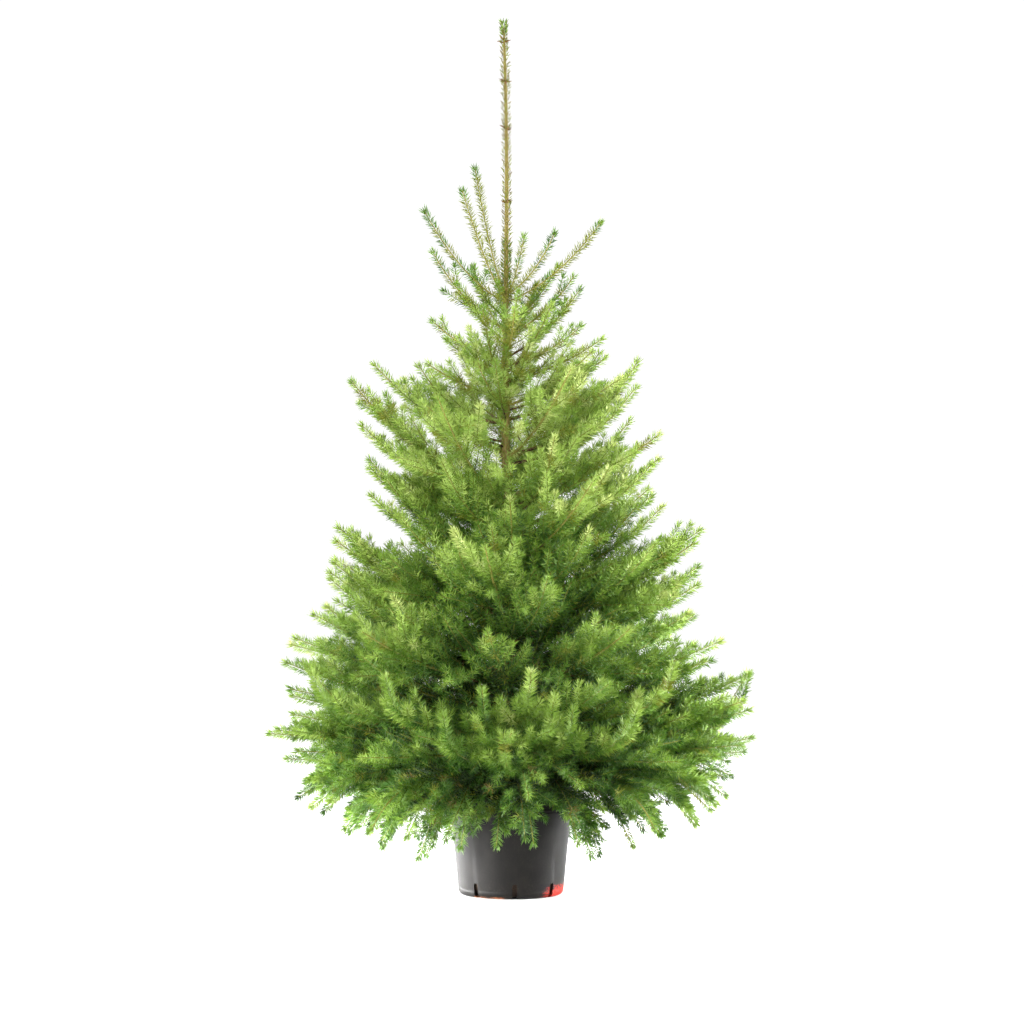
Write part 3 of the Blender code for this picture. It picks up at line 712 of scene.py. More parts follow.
def straight_rod(sides: int, bands: int) -> bmesh.types.BMesh:
    """A closed rod of radius 1 from height 0 to 1, cut into bands."""
    bm = bmesh.new()
    bmesh.ops.create_cone(
        bm, cap_ends=True, segments=sides, radius1=1.0, radius2=1.0, depth=1.0,
        matrix=Matrix.Translation((0.0, 0.0, 0.5)),
    )
    lengthwise = [e for e in bm.edges if abs(e.verts[0].co.z - e.verts[1].co.z) > 0.5]
    bmesh.ops.subdivide_edges(bm, edges=lengthwise, cuts=bands - 1)
    return bm


class Bough:
    """One limb of the tree: its root at the trunk, the line it follows and the foliage it bears."""

    samples = 24
    bend_aside = 0.06
    bend_drooping = (0.78, 0.17)

    def __init__(
        self, trunk: Trunk, name: str, kind: Kind, height: float, azimuth: float, reach: float, rise: float,
        lift: float, seed: int,
    ) -> None:
        """Lays the bough's spine.

        Args:
            trunk: The trunk that it leaves.
            name: Its name, which its mass's node ends with.
            kind: What it bears.
            height: Where it leaves the trunk.
            azimuth: Its direction in degrees from +X.
            reach: Its tip's distance from the trunk's axis.
            rise: Its tip's height over its root.
            lift: How far its side twigs are drawn up.
            seed: The seed of its draws.
        """
        self.name, self.kind, self.lift, self.reach = name, kind, lift, reach
        self.random = random.Random(seed)
        angle = math.radians(azimuth)
        self.out = np.array((math.cos(angle), math.sin(angle), 0.0))
        axis = trunk.axis(height)
        root = axis + self.out * (trunk.radius(height) + trunk.gap)
        bend_out, bend_up = self.bend_drooping if rise < 0.0 else kind.sweep
        aside = self.random.uniform(-self.bend_aside, self.bend_aside) * reach
        middle = axis + self.out * reach * bend_out + UP * (reach if rise < 0.0 else rise) * bend_up
        tip = axis + self.out * reach + UP * rise
        self.spine = Path.bent(root, middle + np.cross(UP, self.out) * aside, tip, self.samples)

    def radius(self, share: float) -> float:
        """The limb's radius at a share of the spine."""
        return self.kind.root * (1.0 - share) + self.kind.tip * share


@dataclass
class Shoot:
    """One stem, twig or fine shoot: its line, radii, order of branching and bough, which is -1 for a lesser one."""

    path: Path
    root_radius: float
    tip_radius: float
    order: int
    bough: int
    kind: Kind
    bare: float = 0.0
    lift: float = 0.0

    def radius(self, share: float) -> float:
        """The shoot's radius at a share of its length."""
        return self.root_radius * (1.0 - share) + self.tip_radius * share


@dataclass
class Spaces:
    """Divides the crown: a point belongs to the bough whose spine is nearest, and is clear of trunk and pot."""

    trunk: Trunk
    boughs: Sequence[Bough]
    pot_height: float = 0.200
    pot_radius: float = 0.127
    leader_foot: float = 1.234
    leader_needles: float = 0.0065
    samples: int = 12
    chunk: int = 1500
    # Height, and the crown's reach at it on the left and on the right
    reaches: tuple[Triple, ...] = (
        (0.055, 0.20, 0.15), (0.085, 0.26, 0.22), (0.110, 0.31, 0.31), (0.140, 0.37, 0.39), (0.170, 0.41, 0.415),
        (0.250, 0.46, 0.46), (0.320, 0.485, 0.485), (0.430, 0.46, 0.485), (0.500, 0.45, 0.440),
        (0.560, 0.41, 0.380), (0.620, 0.37, 0.385), (0.740, 0.36, 0.390), (0.780, 0.31, 0.330),
        (0.860, 0.285, 0.300), (0.920, 0.295, 0.315), (1.010, 0.320, 0.270), (1.070, 0.300, 0.270),
        (1.085, 0.200, 0.200), (1.150, 0.170, 0.185), (1.260, 0.160, 0.170), (1.390, 0.180, 0.190),
        (1.480, 0.080, 0.060), (1.760, 0.060, 0.060),
    )
    # Height, and the least that a place there lies open: under the skirt, and in the loose upper crown
    open_from: Knots = (
        (0.195, 0.68), (0.235, 0.0), (0.60, 0.0), (0.80, 0.50), (0.95, 0.66), (1.05, 0.74),
    )

    def __post_init__(self) -> None:
        """Samples the spines."""
        shares = np.linspace(0.0, 1.0, self.samples + 1)
        spines = np.array([bough.spine.at(shares) for bough in self.boughs])
        self.starts, self.along = spines[:, :-1], spines[:, 1:] - spines[:, :-1]
        self.squares = (self.along**2).sum(2)

    def distances(self, points: np.ndarray) -> np.ndarray:
        """The distance from each point to each spine."""
        offset = points[:, None, None] - self.starts
        share = np.clip((offset * self.along).sum(3) / self.squares, 0.0, 1.0)
        return np.linalg.norm(offset - self.along * share[..., None], axis=3).min(2)

    def reach(self, points: np.ndarray) -> np.ndarray:
        """How far from the middle the crown reaches at the height and on the side of each point."""
        heights, left, right = np.array(self.reaches).T
        height, out = points[:, 2], np.hypot(points[:, 0], points[:, 1])
        rightward = 0.5 + 0.5 * points[:, 0] / np.maximum(out, 1e-6)
        return np.interp(height, heights, left) * (1.0 - rightward) + np.interp(height, heights, right) * rightward

    def openness(self, points: np.ndarray) -> np.ndarray:
        """How open points lie, from 0 at the tree's middle to 1 at the crown's skin."""
        outward = np.clip(np.hypot(points[:, 0], points[:, 1]) / self.reach(points), 0.0, 1.0)
        return np.maximum(outward, np.interp(points[:, 2], *zip(*self.open_from)))

    def holds(self, own: np.ndarray, points: np.ndarray, margin: float) -> np.ndarray:
        """Says of each point whether its own bough's space holds it.

        Args:
            own: The index of each point's bough, or -1 for a shoot off the trunk, which may be in any space.
            points: The points.
            margin: How far inside the space they are to be.

        Returns:
            One truth value for each point.
        """
        height = points[:, 2]
        out = np.hypot(points[:, 0], points[:, 1])
        from_trunk = np.linalg.norm((points - self.trunk.axis(height))[:, :2], axis=1)
        needles = np.where(height > self.leader_foot, self.leader_needles, 0.0)
        clear = from_trunk > self.trunk.radius(np.maximum(height, self.trunk.soil_top)) + needles + margin
        clear &= (out < self.reach(points)) & (height > self.reaches[0][0])
        over_rim = height > self.pot_height + margin
        clear &= over_rim | (out > self.pot_radius + margin)
        bounded = np.flatnonzero(own >= 0)
        for first in range(0, len(bounded), self.chunk):
            part = bounded[first : first + self.chunk]
            distances = self.distances(points[part])
            rows = np.arange(len(distances))
            mine = distances[rows, own[part]]
            distances[rows, own[part]] = np.inf
            clear[part] &= distances.min(1) > mine + margin
        return clear


@dataclass
class Grower:
    """Grows the shoots of the whole crown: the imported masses' own twigs first, then finer ones on each."""

    trunk: Trunk
    boughs: Sequence[Bough]
    between: Sequence[Bough]
    rule: Rule = field(default_factory=Rule)
    first_pair: float = 0.22
    last_pair: float = 0.64
    fork_place: float = 0.05
    fade: float = 1.25
    pair_rolls: tuple[float, ...] = (-0.25, 0.65, 0.0)
    roll_draw: float = 0.2
    fork_at: tuple[float, ...] = (0.42, 0.66)
    fork_ratio: float = 0.50
    fork_fade: float = 1.2
    fork_spread: float = 44.0
    fork_roll_draw: float = 0.3
    crests: tuple[Triple, ...] = ((0.20, 1.0, 0.34), (0.40, -1.0, 0.30))
    crest_spread: float = 42.0
    crest_roll_draw: float = 0.4
    place_draw: float = 0.2
    spread_draw: float = 0.08
    length_draw: float = 0.1
    sizes_tried: tuple[float, ...] = (1.0, 0.85, 0.7, 0.55, 0.42)
    shortest: float = 0.045
    core_margin: float = 0.008
    bare_root: float = 0.009
    twig_root: float = 0.0016
    bearing_root: float = 0.0022
    twig_tip: float = 0.0008
    by_parent: float = 0.55
    twig_samples: int = 5
    fine_margin: float = 0.0015
    fine_lift: float = 0.27
    fine_spread: Pair = (35.0, 51.0)
    fine_length: Pair = (0.74, 1.10)
    fine_roll: float = 0.28
    upright_shorter: float = 0.25
    fine_by_parent: float = 0.75
    fine_shift: float = 0.35
    gap_draw: Pair = (0.85, 1.15)
    fine_shortest: float = 0.022
    fine_seed: int = 71
    fine_bare: float = 0.002
    lesser_bare: float = 0.005
    lesser_shortest: float = 0.08
    levels: int = 3
    # How far out the tip of a twig on a twig has to lie, since no eye reaches one further in
    hidden: float = 0.56

    def __post_init__(self) -> None:
        """Divides the crown between the boughs."""
        self.spaces = Spaces(self.trunk, self.boughs)

    def stem(self, index: int) -> Shoot:
        """The bough's own spine as a shoot, from where its bare limb ends."""
        bough = self.boughs[index]
        starts = bough.kind.limb + self.trunk.gap / bough.spine.length if bough.kind.limb else 0.0
        path = bough.spine.part(starts, 1.0, bough.samples)
        return Shoot(path, bough.radius(starts), bough.kind.tip, 0, index, bough.kind, lift=bough.lift)

    def in_row(self, shoot: Shoot, share: float, shift: float) -> float:
        """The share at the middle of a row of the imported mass's needles, shifted by a part of the row."""
        pitch = self.boughs[shoot.bough].kind.pitch
        bare = shoot.bare / shoot.path.length
        rows = max(1 if shoot.bare else 2, round((shoot.path.length - shoot.bare) / pitch))
        row = min(int(share * rows), rows - 1)
        return bare + (1.0 - bare) * (row + 0.5 + shift) / rows

    def packed_twigs(self, index: int) -> list[Shoot]:
        """The stem of a packed mass and the twigs that it was given room for, in the same draws."""
        bough = self.boughs[index]
        kind = bough.kind
        stem = self.stem(index)
        twigs = [stem]
        for i in range(kind.pairs):
            twigs += self.pair(stem, i)
        for place, side, ratio in self.crests if kind.forks else ():
            roll = bough.random.uniform(-self.crest_roll_draw, self.crest_roll_draw)
            twigs += self.twig(stem, place, side, True, self.crest_spread, roll, ratio, False)
        return twigs

    def pair(self, stem: Shoot, i: int) -> list[Shoot]:
        """One pair of side twigs and, on a fork, the twigs that it bears."""
        bough = self.boughs[stem.bough]
        kind = bough.kind
        fork = kind.forks and i == 0
        place = self.first_pair + (self.last_pair - self.first_pair) * i / (kind.pairs - 1)
        place = self.fork_place if fork else place
        grown = []
        for side in (-1.0, 1.0):
            roll = self.pair_rolls[i] + bough.random.uniform(-self.roll_draw, self.roll_draw)
            twigs = self.twig(stem, place, side, False, kind.spread, roll, kind.ratio * (self.fade - place), fork)
            grown += twigs
            if not fork or not twigs:
                continue
            for j, at in enumerate(self.fork_at):
                inner = side if j % 2 else -side
                roll = self.pair_rolls[j] + bough.random.uniform(-self.fork_roll_draw, self.fork_roll_draw)
                ratio = self.fork_ratio * (self.fork_fade - at)
                grown += self.twig(twigs[0], at, inner, False, self.fork_spread, roll, ratio, False)
        return grown

    def twig(
        self, parent: Shoot, place: float, side: float, crest: bool, spread: float, roll: float, ratio: float,
        bears: bool,
    ) -> list[Shoot]:
        """One twig of a packed mass, shortened until its bough's space holds it, or none."""
        bough = self.boughs[parent.bough]
        draw = bough.random
        share = self.in_row(parent, place, draw.uniform(-self.place_draw, self.place_draw))
        angle = math.radians(spread) * draw.uniform(1.0 - self.spread_draw, 1.0 + self.spread_draw)
        length = parent.path.length * ratio * draw.uniform(1.0 - self.length_draw, 1.0 + self.length_draw)
        lay = Lay(share, side, angle, roll, length, crest)
        whole = self.rule.sprout(parent.path, lay, bough.lift, self.twig_samples * 2)
        root_radius = min(self.bearing_root if bears else self.twig_root, parent.radius(share) * self.by_parent)
        for size in self.sizes_tried:
            path = whole.part(0.0, size, self.twig_samples)
            if path.length < self.shortest:
                return []
            own = np.full(self.twig_samples, parent.bough)
            if self.spaces.holds(own, path.points[1:], self.core_margin).all():
                radii = (root_radius, min(self.twig_tip, root_radius))
                order = parent.order + 1
                return [Shoot(path, *radii, order, parent.bough, bough.kind, self.bare_root, bough.lift)]
        return []

    def lesser(self) -> list[Shoot]:
        """The stems of the lesser boughs between the whorls, which may share the spaces of others."""
        stems = []
        for bough in self.between:
            path = bough.spine.part(0.0, 1.0, bough.samples)
            kind = bough.kind
            stems.append(Shoot(path, kind.root, kind.tip, 0, -1, kind, self.lesser_bare, bough.lift))
        return self.fitted(stems, self.lesser_shortest)

    def finer(self, parent: Shoot, draw: random.Random) -> Iterator[Shoot]:
        """The finer shoots that a parent would bear if it had all the room it wants."""
        branching = parent.kind.finer[parent.order]
        whole = parent.path.length
        back = branching.free_tip * draw.uniform(*self.gap_draw)
        first = draw.randrange(2)
        while back < whole - branching.free_root:
            for i, base in enumerate(branching.rolls):
                shift = branching.gap * draw.uniform(-self.fine_shift, self.fine_shift)
                mark = max(whole - back + shift, branching.free_root)
                roll = base + draw.uniform(-self.fine_roll, self.fine_roll)
                length = min(branching.longest, (whole - mark) * branching.ratio) * draw.uniform(*self.fine_length)
                length *= 1.0 - self.upright_shorter * abs(math.sin(roll))
                spread = math.radians(draw.uniform(*self.fine_spread))
                if length > branching.shortest:
                    side = 1.0 if (i + first) % 2 else -1.0
                    share = mark / whole
                    lay = Lay(share, side, spread, roll, length)
                    path = self.rule.sprout(parent.path, lay, parent.lift + self.fine_lift, self.twig_samples)
                    root = min(self.twig_root, parent.radius(share) * self.fine_by_parent)
                    radii, order = (root, min(self.twig_tip, root)), parent.order + 1
                    yield Shoot(path, *radii, order, parent.bough, parent.kind, self.fine_bare, parent.lift)
            back += branching.gap * draw.uniform(*self.gap_draw)
            first += 1

    def fitted(self, shoots: Sequence[Shoot], shortest: float) -> list[Shoot]:
        """Cuts each shoot back to the stretch that its bough's space holds, and drops those left too short."""
        if not shoots:
            return []
        count = len(shoots[0].path.points) - 1
        points = np.concatenate([shoot.path.points[1:] for shoot in shoots])
        own = np.repeat([shoot.bough for shoot in shoots], count)
        held = self.spaces.holds(own, points, self.fine_margin).reshape(-1, count)
        kept = np.where(held.all(1), count, held.argmin(1))
        fitting = []
        for shoot, steps in zip(shoots, kept):
            if steps < count:
                if shoot.path.length * steps / count < shortest:
                    continue
                shoot.path = shoot.path.part(0.0, steps / count, count)
            fitting.append(shoot)
        return fitting

    def grow(self) -> list[Shoot]:
        """All shoots of the crown, the coarser orders first."""
        shoots = [twig for index in range(len(self.boughs)) for twig in self.packed_twigs(index)]
        shoots += self.lesser()
        front = shoots
        for level in range(self.levels):
            draw = random.Random(self.fine_seed + level)
            bearing = [shoot for shoot in front if shoot.order < len(shoot.kind.finer)]
            wanted = [bud for parent in bearing for bud in self.finer(parent, draw)]
            front = self.fitted(wanted, self.fine_shortest)
            if level:
                tips = self.spaces.openness(np.array([shoot.path.points[-1] for shoot in front]))
                front = [shoot for shoot, outward in zip(front, tips) if outward > self.hidden]
            shoots = shoots + front
            LOG.info("branching %d: %d shoots of %d wanted", level + 1, len(front), len(wanted))
        return shoots


# ---------------------------------------------------------------- needles and twigs


@dataclass
class Sprays:
    """Many needles in arrays, each with the tint that its spray was dealt."""

    roots: list[np.ndarray] = field(default_factory=list)
    tips: list[np.ndarray] = field(default_factory=list)
    backs: list[np.ndarray] = field(default_factory=list)
    widths: list[np.ndarray] = field(default_factory=list)
    tints: list[np.ndarray] = field(default_factory=list)

    def add(
        self, roots: np.ndarray, tips: np.ndarray, backs: np.ndarray, widths: np.ndarray, tints: np.ndarray
    ) -> None:
        """Adds needles.

        Args:
            roots: Where each leaves its twig.
            tips: Where each ends.
            backs: The middle of each needle's back, which is bowed out from the line between them.
            widths: Half the width at the back, as a vector across it.
            tints: The number of each needle's tint.
        """
        kept = (self.roots, self.tips, self.backs, self.widths, self.tints)
        for rows, new in zip(kept, (roots, tips, backs, widths, tints)):
            rows.append(new)

    def pieces(self, nodes: Sequence[str]) -> list[bpy.types.Object]:
        """One piece, or several where it would be too large, for the needles of each tint."""
        roots, tips = np.concatenate(self.roots), np.concatenate(self.tips)
        backs, widths = np.concatenate(self.backs), np.concatenate(self.widths)
        tints = np.concatenate(self.tints)
        faces = np.array(((0, 2, 1), (0, 1, 3)))
        made = []
        for number, tint in enumerate(Tint):
            own = np.flatnonzero(tints == number)
            parts = math.ceil(len(own) * len(faces) / MOST_TRIANGLES)
            material = PlainFinish.of_needles(tint).material()
            for i, rows in enumerate(np.array_split(own, max(parts, 1))):
                if not len(rows):
                    continue
                corners = (roots[rows], tips[rows], backs[rows] - widths[rows], backs[rows] + widths[rows])
                points = np.stack(corners, axis=1).reshape(-1, 3)
                triangles = (faces[None] + 4 * np.arange(len(rows))[:, None, None]).reshape(-1, 3)
                name = f"needles_{tint.name.lower()}_{i + 1}"
                made.append(carried(from_arrays(name, points, triangles, material), nodes))
        LOG.info("%d needles", len(tints))
        return made


@dataclass
class Brush:
    """Sets shoots with needles, in a spiral, and deals a tint to each spray."""

    spaces: Spaces
    # How far out a place lies, and the share of its kind's needles that a shoot carries there
    fullness: Knots = (
        (0.15, 0.34), (0.30, 0.38), (0.45, 0.46), (0.60, 0.80), (0.75, 1.10), (0.90, 1.4),
    )
    # Height, and how far out a place there counts as at least: the thin upper crown shows its twigs to the trunk
    shown: Knots = ((0.82, 0.0), (0.92, 0.60), (1.20, 0.72))
    samples: int = 8
    half_width: float = 0.00072
    # How far out, and the breadth of a needle there against one on the crown's skin
    breadth: Knots = ((0.22, 2.2), (0.42, 1.4), (0.60, 1.0))
    # How far out, and how much lighter the needles' tint is there: painted shade darkening the crown's depth,
    # partly also the darker older needles inside
    glow: Knots = ((0.0, 0.0), (0.5, 0.11), (0.75, 0.34), (0.88, 0.45), (1.0, 0.38))
    # Height, and how much lighter the needles' tint is there: painted light, strongest in the upper middle of the
    # crown
    painted_light_by_height: Knots = (
        (0.18, 0.0), (0.34, 0.06), (0.70, 0.28), (0.95, 0.48), (1.12, 0.36), (1.20, 0.16),
    )
    # Height, and how much brighter the shoots' ends are there
    glow_tips: Knots = ((0.12, 0.05), (0.30, 0.10), (0.95, 0.12), (1.10, 0.06))
    brightest: float = 0.74
    # How much the draws make a shoot, and a spray, brighter or darker
    shoot_luck: float = 0.08
    spray_luck: float = 0.06
    straw_share: float = 0.03
    straw_below: float = 0.25
    end_length: float = 0.045
    back_share: float = 0.30
    most_spin: float = 1.2
    back_turn: float = math.radians(16.0)
    lean: float = math.radians(58.0)
    lean_draw: float = math.radians(11.0)
    tip_lean: float = math.radians(30.0)
    tip_stretch: float = 0.014
    tuft: float = 11.0
    tuft_stretch: float = 0.008
    tuft_leans: Pair = (math.radians(4.0), math.radians(38.0))
    stem_more: float = 1.25
    least_tuft: float = 0.25
    turn_draw: float = 0.35
    shoot_turn: float = 1.7
    size_draw: Pair = (0.80, 1.12)
    breadth_draw: Pair = (0.85, 1.15)
    # The needles at a shoot's foot and in its tuft, against the others, and the way over which they lengthen
    foot_size: float = 0.72
    foot_stretch: float = 0.012
    tuft_size: float = 0.85
    sunk: float = 0.7
    spray: float = 0.020
    seed: int = 2024

    def clothe(self, shoots: Sequence[Shoot], sprays: Sprays) -> None:
        """Adds the needles of all shoots."""
        rng = np.random.default_rng(self.seed)
        lines = np.array([s.path.at(np.linspace(0.0, 1.0, self.samples + 1)) for s in shoots])
        lengths = np.array([s.path.length for s in shoots])
        needle = np.array([s.kind.needle for s in shoots])
        bare = np.array([s.bare / s.path.length for s in shoots])
        radii = np.array([(s.root_radius, s.tip_radius) for s in shoots])
        middles = (lines[:, 1:] + lines[:, :-1]) / 2
        outward = np.array([self.spaces.openness(row) for row in middles.transpose(1, 0, 2)]).T
        deep = np.maximum(outward, np.interp(middles[..., 2], *zip(*self.shown)))
        full = np.interp(deep, *zip(*self.fullness))
        clear = np.clip(np.arange(1, self.samples + 1) - bare[:, None] * self.samples, 0.0, 1.0)
        thick = np.array([s.kind.thick * (self.stem_more if s.order == 0 else 1.0) for s in shoots])
        in_cells = full * clear * (thick * lengths / self.samples)[:, None]
        marks = np.concatenate([np.zeros((len(shoots), 1)), np.cumsum(in_cells, axis=1)], axis=1)

        counts = np.maximum(marks[:, -1].astype(int), 1)
        all_counts = counts + (self.tuft * np.clip(full[:, -1], self.least_tuft, 1.0)).astype(int)
        own = np.repeat(np.arange(len(shoots)), all_counts)
        number = np.arange(len(own)) - np.concatenate([[0], np.cumsum(all_counts)[:-1]])[own]
        in_tuft = number >= counts[own]
        wanted = np.clip((number + rng.random(len(own))) / counts[own], 0.0, 1.0) * marks[own, -1]
        cell = np.minimum((marks[own, 1:] <= wanted[:, None]).sum(1), self.samples - 1)
        within = (wanted - marks[own, cell]) / np.maximum(in_cells[own, cell], 1e-9)
        share = (cell + np.clip(within, 0.0, 1.0)) / self.samples
        share = np.where(in_tuft, 1.0 - rng.random(len(own)) * self.tuft_stretch / lengths[own], share)
        share = np.clip(share, bare[own], 1.0)
        mark = share * lengths[own]

        cell = np.minimum((share * self.samples).astype(int), self.samples - 1)
        within = (share * self.samples - cell)[:, None]
        start, end = lines[own, cell], lines[own, cell + 1]
        place = start * (1.0 - within) + end * within
        heading = unit(end - start)
        side, over = across(heading)
        turn = number * GOLDEN_TURN + rng.normal(0.0, self.turn_draw, len(own)) + own * self.shoot_turn
        radial = side * np.cos(turn)[:, None] + over * np.sin(turn)[:, None]

        to_tip = np.clip((lengths[own] - mark) / self.tip_stretch, 0.0, 1.0)
        lean = self.tip_lean + (self.lean - self.tip_lean) * to_tip + rng.normal(0.0, self.lean_draw, len(own))
        lean = np.where(in_tuft, rng.uniform(*self.tuft_leans, len(own)), lean)
        size = needle[own] * rng.uniform(*self.size_draw, len(own))
        from_foot = np.clip((share - bare[own]) * lengths[own] / self.foot_stretch, 0.0, 1.0)
        size *= self.foot_size + (1.0 - self.foot_size) * from_foot
        size *= np.where(in_tuft, self.tuft_size, 1.0)

        def away(angle: np.ndarray) -> np.ndarray:
            """The directions that turn from the twigs by angles."""
            return heading * np.cos(angle)[:, None] + radial * np.sin(angle)[:, None]

        thickness = radii[own, 0] * (1.0 - share) + radii[own, 1] * share
        roots = place + radial * (thickness * self.sunk)[:, None]
        tips = roots + away(lean) * size[:, None]
        backs = roots + away(lean + self.back_turn) * (size * self.back_share)[:, None]
        spin = rng.uniform(-self.most_spin, self.most_spin, len(own))
        flat = np.cross(heading, radial) * np.cos(spin)[:, None] + away(lean + math.pi / 2) * np.sin(spin)[:, None]
        breadth = np.interp(deep[own, cell], *zip(*self.breadth)) * rng.uniform(*self.breadth_draw, len(own))
        breadth *= np.array([s.kind.broad for s in shoots])[own]
        widths = flat * (self.half_width * breadth)[:, None]

        olive = np.array([s.kind.olive for s in shoots])[own]
        bright = (rng.normal(0.0, self.shoot_luck, len(shoots)) + np.array([s.kind.glow for s in shoots]))[own]
        near_tip = np.clip(1.0 - (lengths[own] - mark) / self.end_length, 0.0, 1.0)
        # painted light and shade: the tint darkens into the crown's depth and lightens up the crown, besides the
        # lighter young tips
        bright += self.brightness(outward[own, cell], place[:, 2], near_tip)
        dealt = self.dealt(own, (mark / self.spray).astype(int), olive * (near_tip < 0.5), bright, rng)
        sprays.add(roots, tips, backs, widths, dealt)

    def brightness(self, outward: np.ndarray, heights: np.ndarray, near_tip: np.ndarray) -> np.ndarray:
        """How light the needles' tint is at a place, from 0 in the crown's depth to 1 at the top of its skin:
        painted shade in the depth and painted light up the crown, with the young shoots' ends lighter as well.
        """
        tips = near_tip * np.interp(heights, *zip(*self.glow_tips))
        bright = np.interp(outward, *zip(*self.glow)) + np.interp(heights, *zip(*self.painted_light_by_height)) + tips
        return np.minimum(bright, self.brightest)

    def dealt(
        self, own: np.ndarray, spray: np.ndarray, olive: np.ndarray, bright: np.ndarray, rng: np.random.Generator
    ) -> np.ndarray:
        """The number of each needle's tint, dealt out by spray.

        Args:
            own: The shoot of each needle.
            spray: The number of its spray on that shoot.
            olive: The share of olive sprays where the needle stands.
            bright: The brightness there.
            rng: The draws.

        Returns:
            Numbers into Tint, in its own order.
        """
        table = (own.max() + 1, spray.max() + 1)
        tone = bright + rng.normal(0.0, self.spray_luck, table)[own, spray]
        numbers = np.array([tint.number for tint in GREENS])
        dealt = numbers[np.clip((tone * len(GREENS)).astype(int), 0, len(GREENS) - 1)]
        chance = rng.random(table)[own, spray]
        dealt = np.where(chance > 1.0 - olive, Tint.OLIVE.number, dealt)
        return np.where((chance < self.straw_share) & (tone < self.straw_below), Tint.STRAW.number, dealt)


@dataclass
class Rods:
    """Twigs as tapering rods of a few flat sides, joined in arrays."""

    material: bpy.types.Material
    name: str
    points: list[np.ndarray] = field(default_factory=list)
    triangles: list[np.ndarray] = field(default_factory=list)
    ages: list[np.ndarray] = field(default_factory=list)
    count: int = 0
    young_from: float = 1.0 / 1.6

    def add(self, shoot: Shoot, sides: int, bands: int) -> None:
        """Adds one shoot's rod, closed at both ends."""
        shares = np.linspace(0.0, 1.0, bands + 1)
        places = shoot.path.at(shares)
        heading = unit(np.gradient(places, axis=0))
        side, over = across(heading)
        radii = shoot.root_radius * (1.0 - shares) + shoot.tip_radius * shares
        turns = np.arange(sides) * math.tau / sides
        ring = side[:, None] * np.cos(turns)[None, :, None] + over[:, None] * np.sin(turns)[None, :, None]
        points = (places[:, None] + ring * radii[:, None, None]).reshape(-1, 3)
        here = np.arange(sides)
        after = (here + 1) % sides
        faces = []
        for band in range(bands):
            low, high = band * sides, (band + 1) * sides
            faces.append(np.stack([low + here, low + after, high + after], axis=1))
            faces.append(np.stack([low + here, high + after, high + here], axis=1))
        fan = np.arange(1, sides - 1)
        faces.append(np.stack([np.zeros_like(fan), fan + 1, fan], axis=1))
        top = bands * sides
        faces.append(np.stack([np.full_like(fan, top), top + fan, top + fan + 1], axis=1))
        self.points.append(points)
        self.ages.append(np.repeat(np.clip(1.0 - shares / self.young_from, 0.0, 1.0), sides))
        self.triangles.append(np.concatenate(faces) + self.count)
        self.count += len(points)

    def pieces(self, slot: str, nodes: Sequence[str]) -> list[bpy.types.Object]:
        """The rods as one piece, or several where it would be too large."""
        made, points, triangles, ages = [], [], [], []
        first = total = 0
        for i, (own, faces) in enumerate(zip(self.points, self.triangles)):
            points.append(own)
            triangles.append(faces - first)
            ages.append(self.ages[i])
            total += len(faces)
            if total > MOST_TRIANGLES or i == len(self.points) - 1:
                name = f"{self.name}_{len(made) + 1}"
                piece = from_arrays(name, np.concatenate(points), np.concatenate(triangles), self.material)
                set_ages(piece.data, np.concatenate(ages))
                made.append(carried(piece, nodes))
                first += sum(len(p) for p in points)
                points, triangles, ages, total = [], [], [], 0
        return made


# ---------------------------------------------------------------- the crown


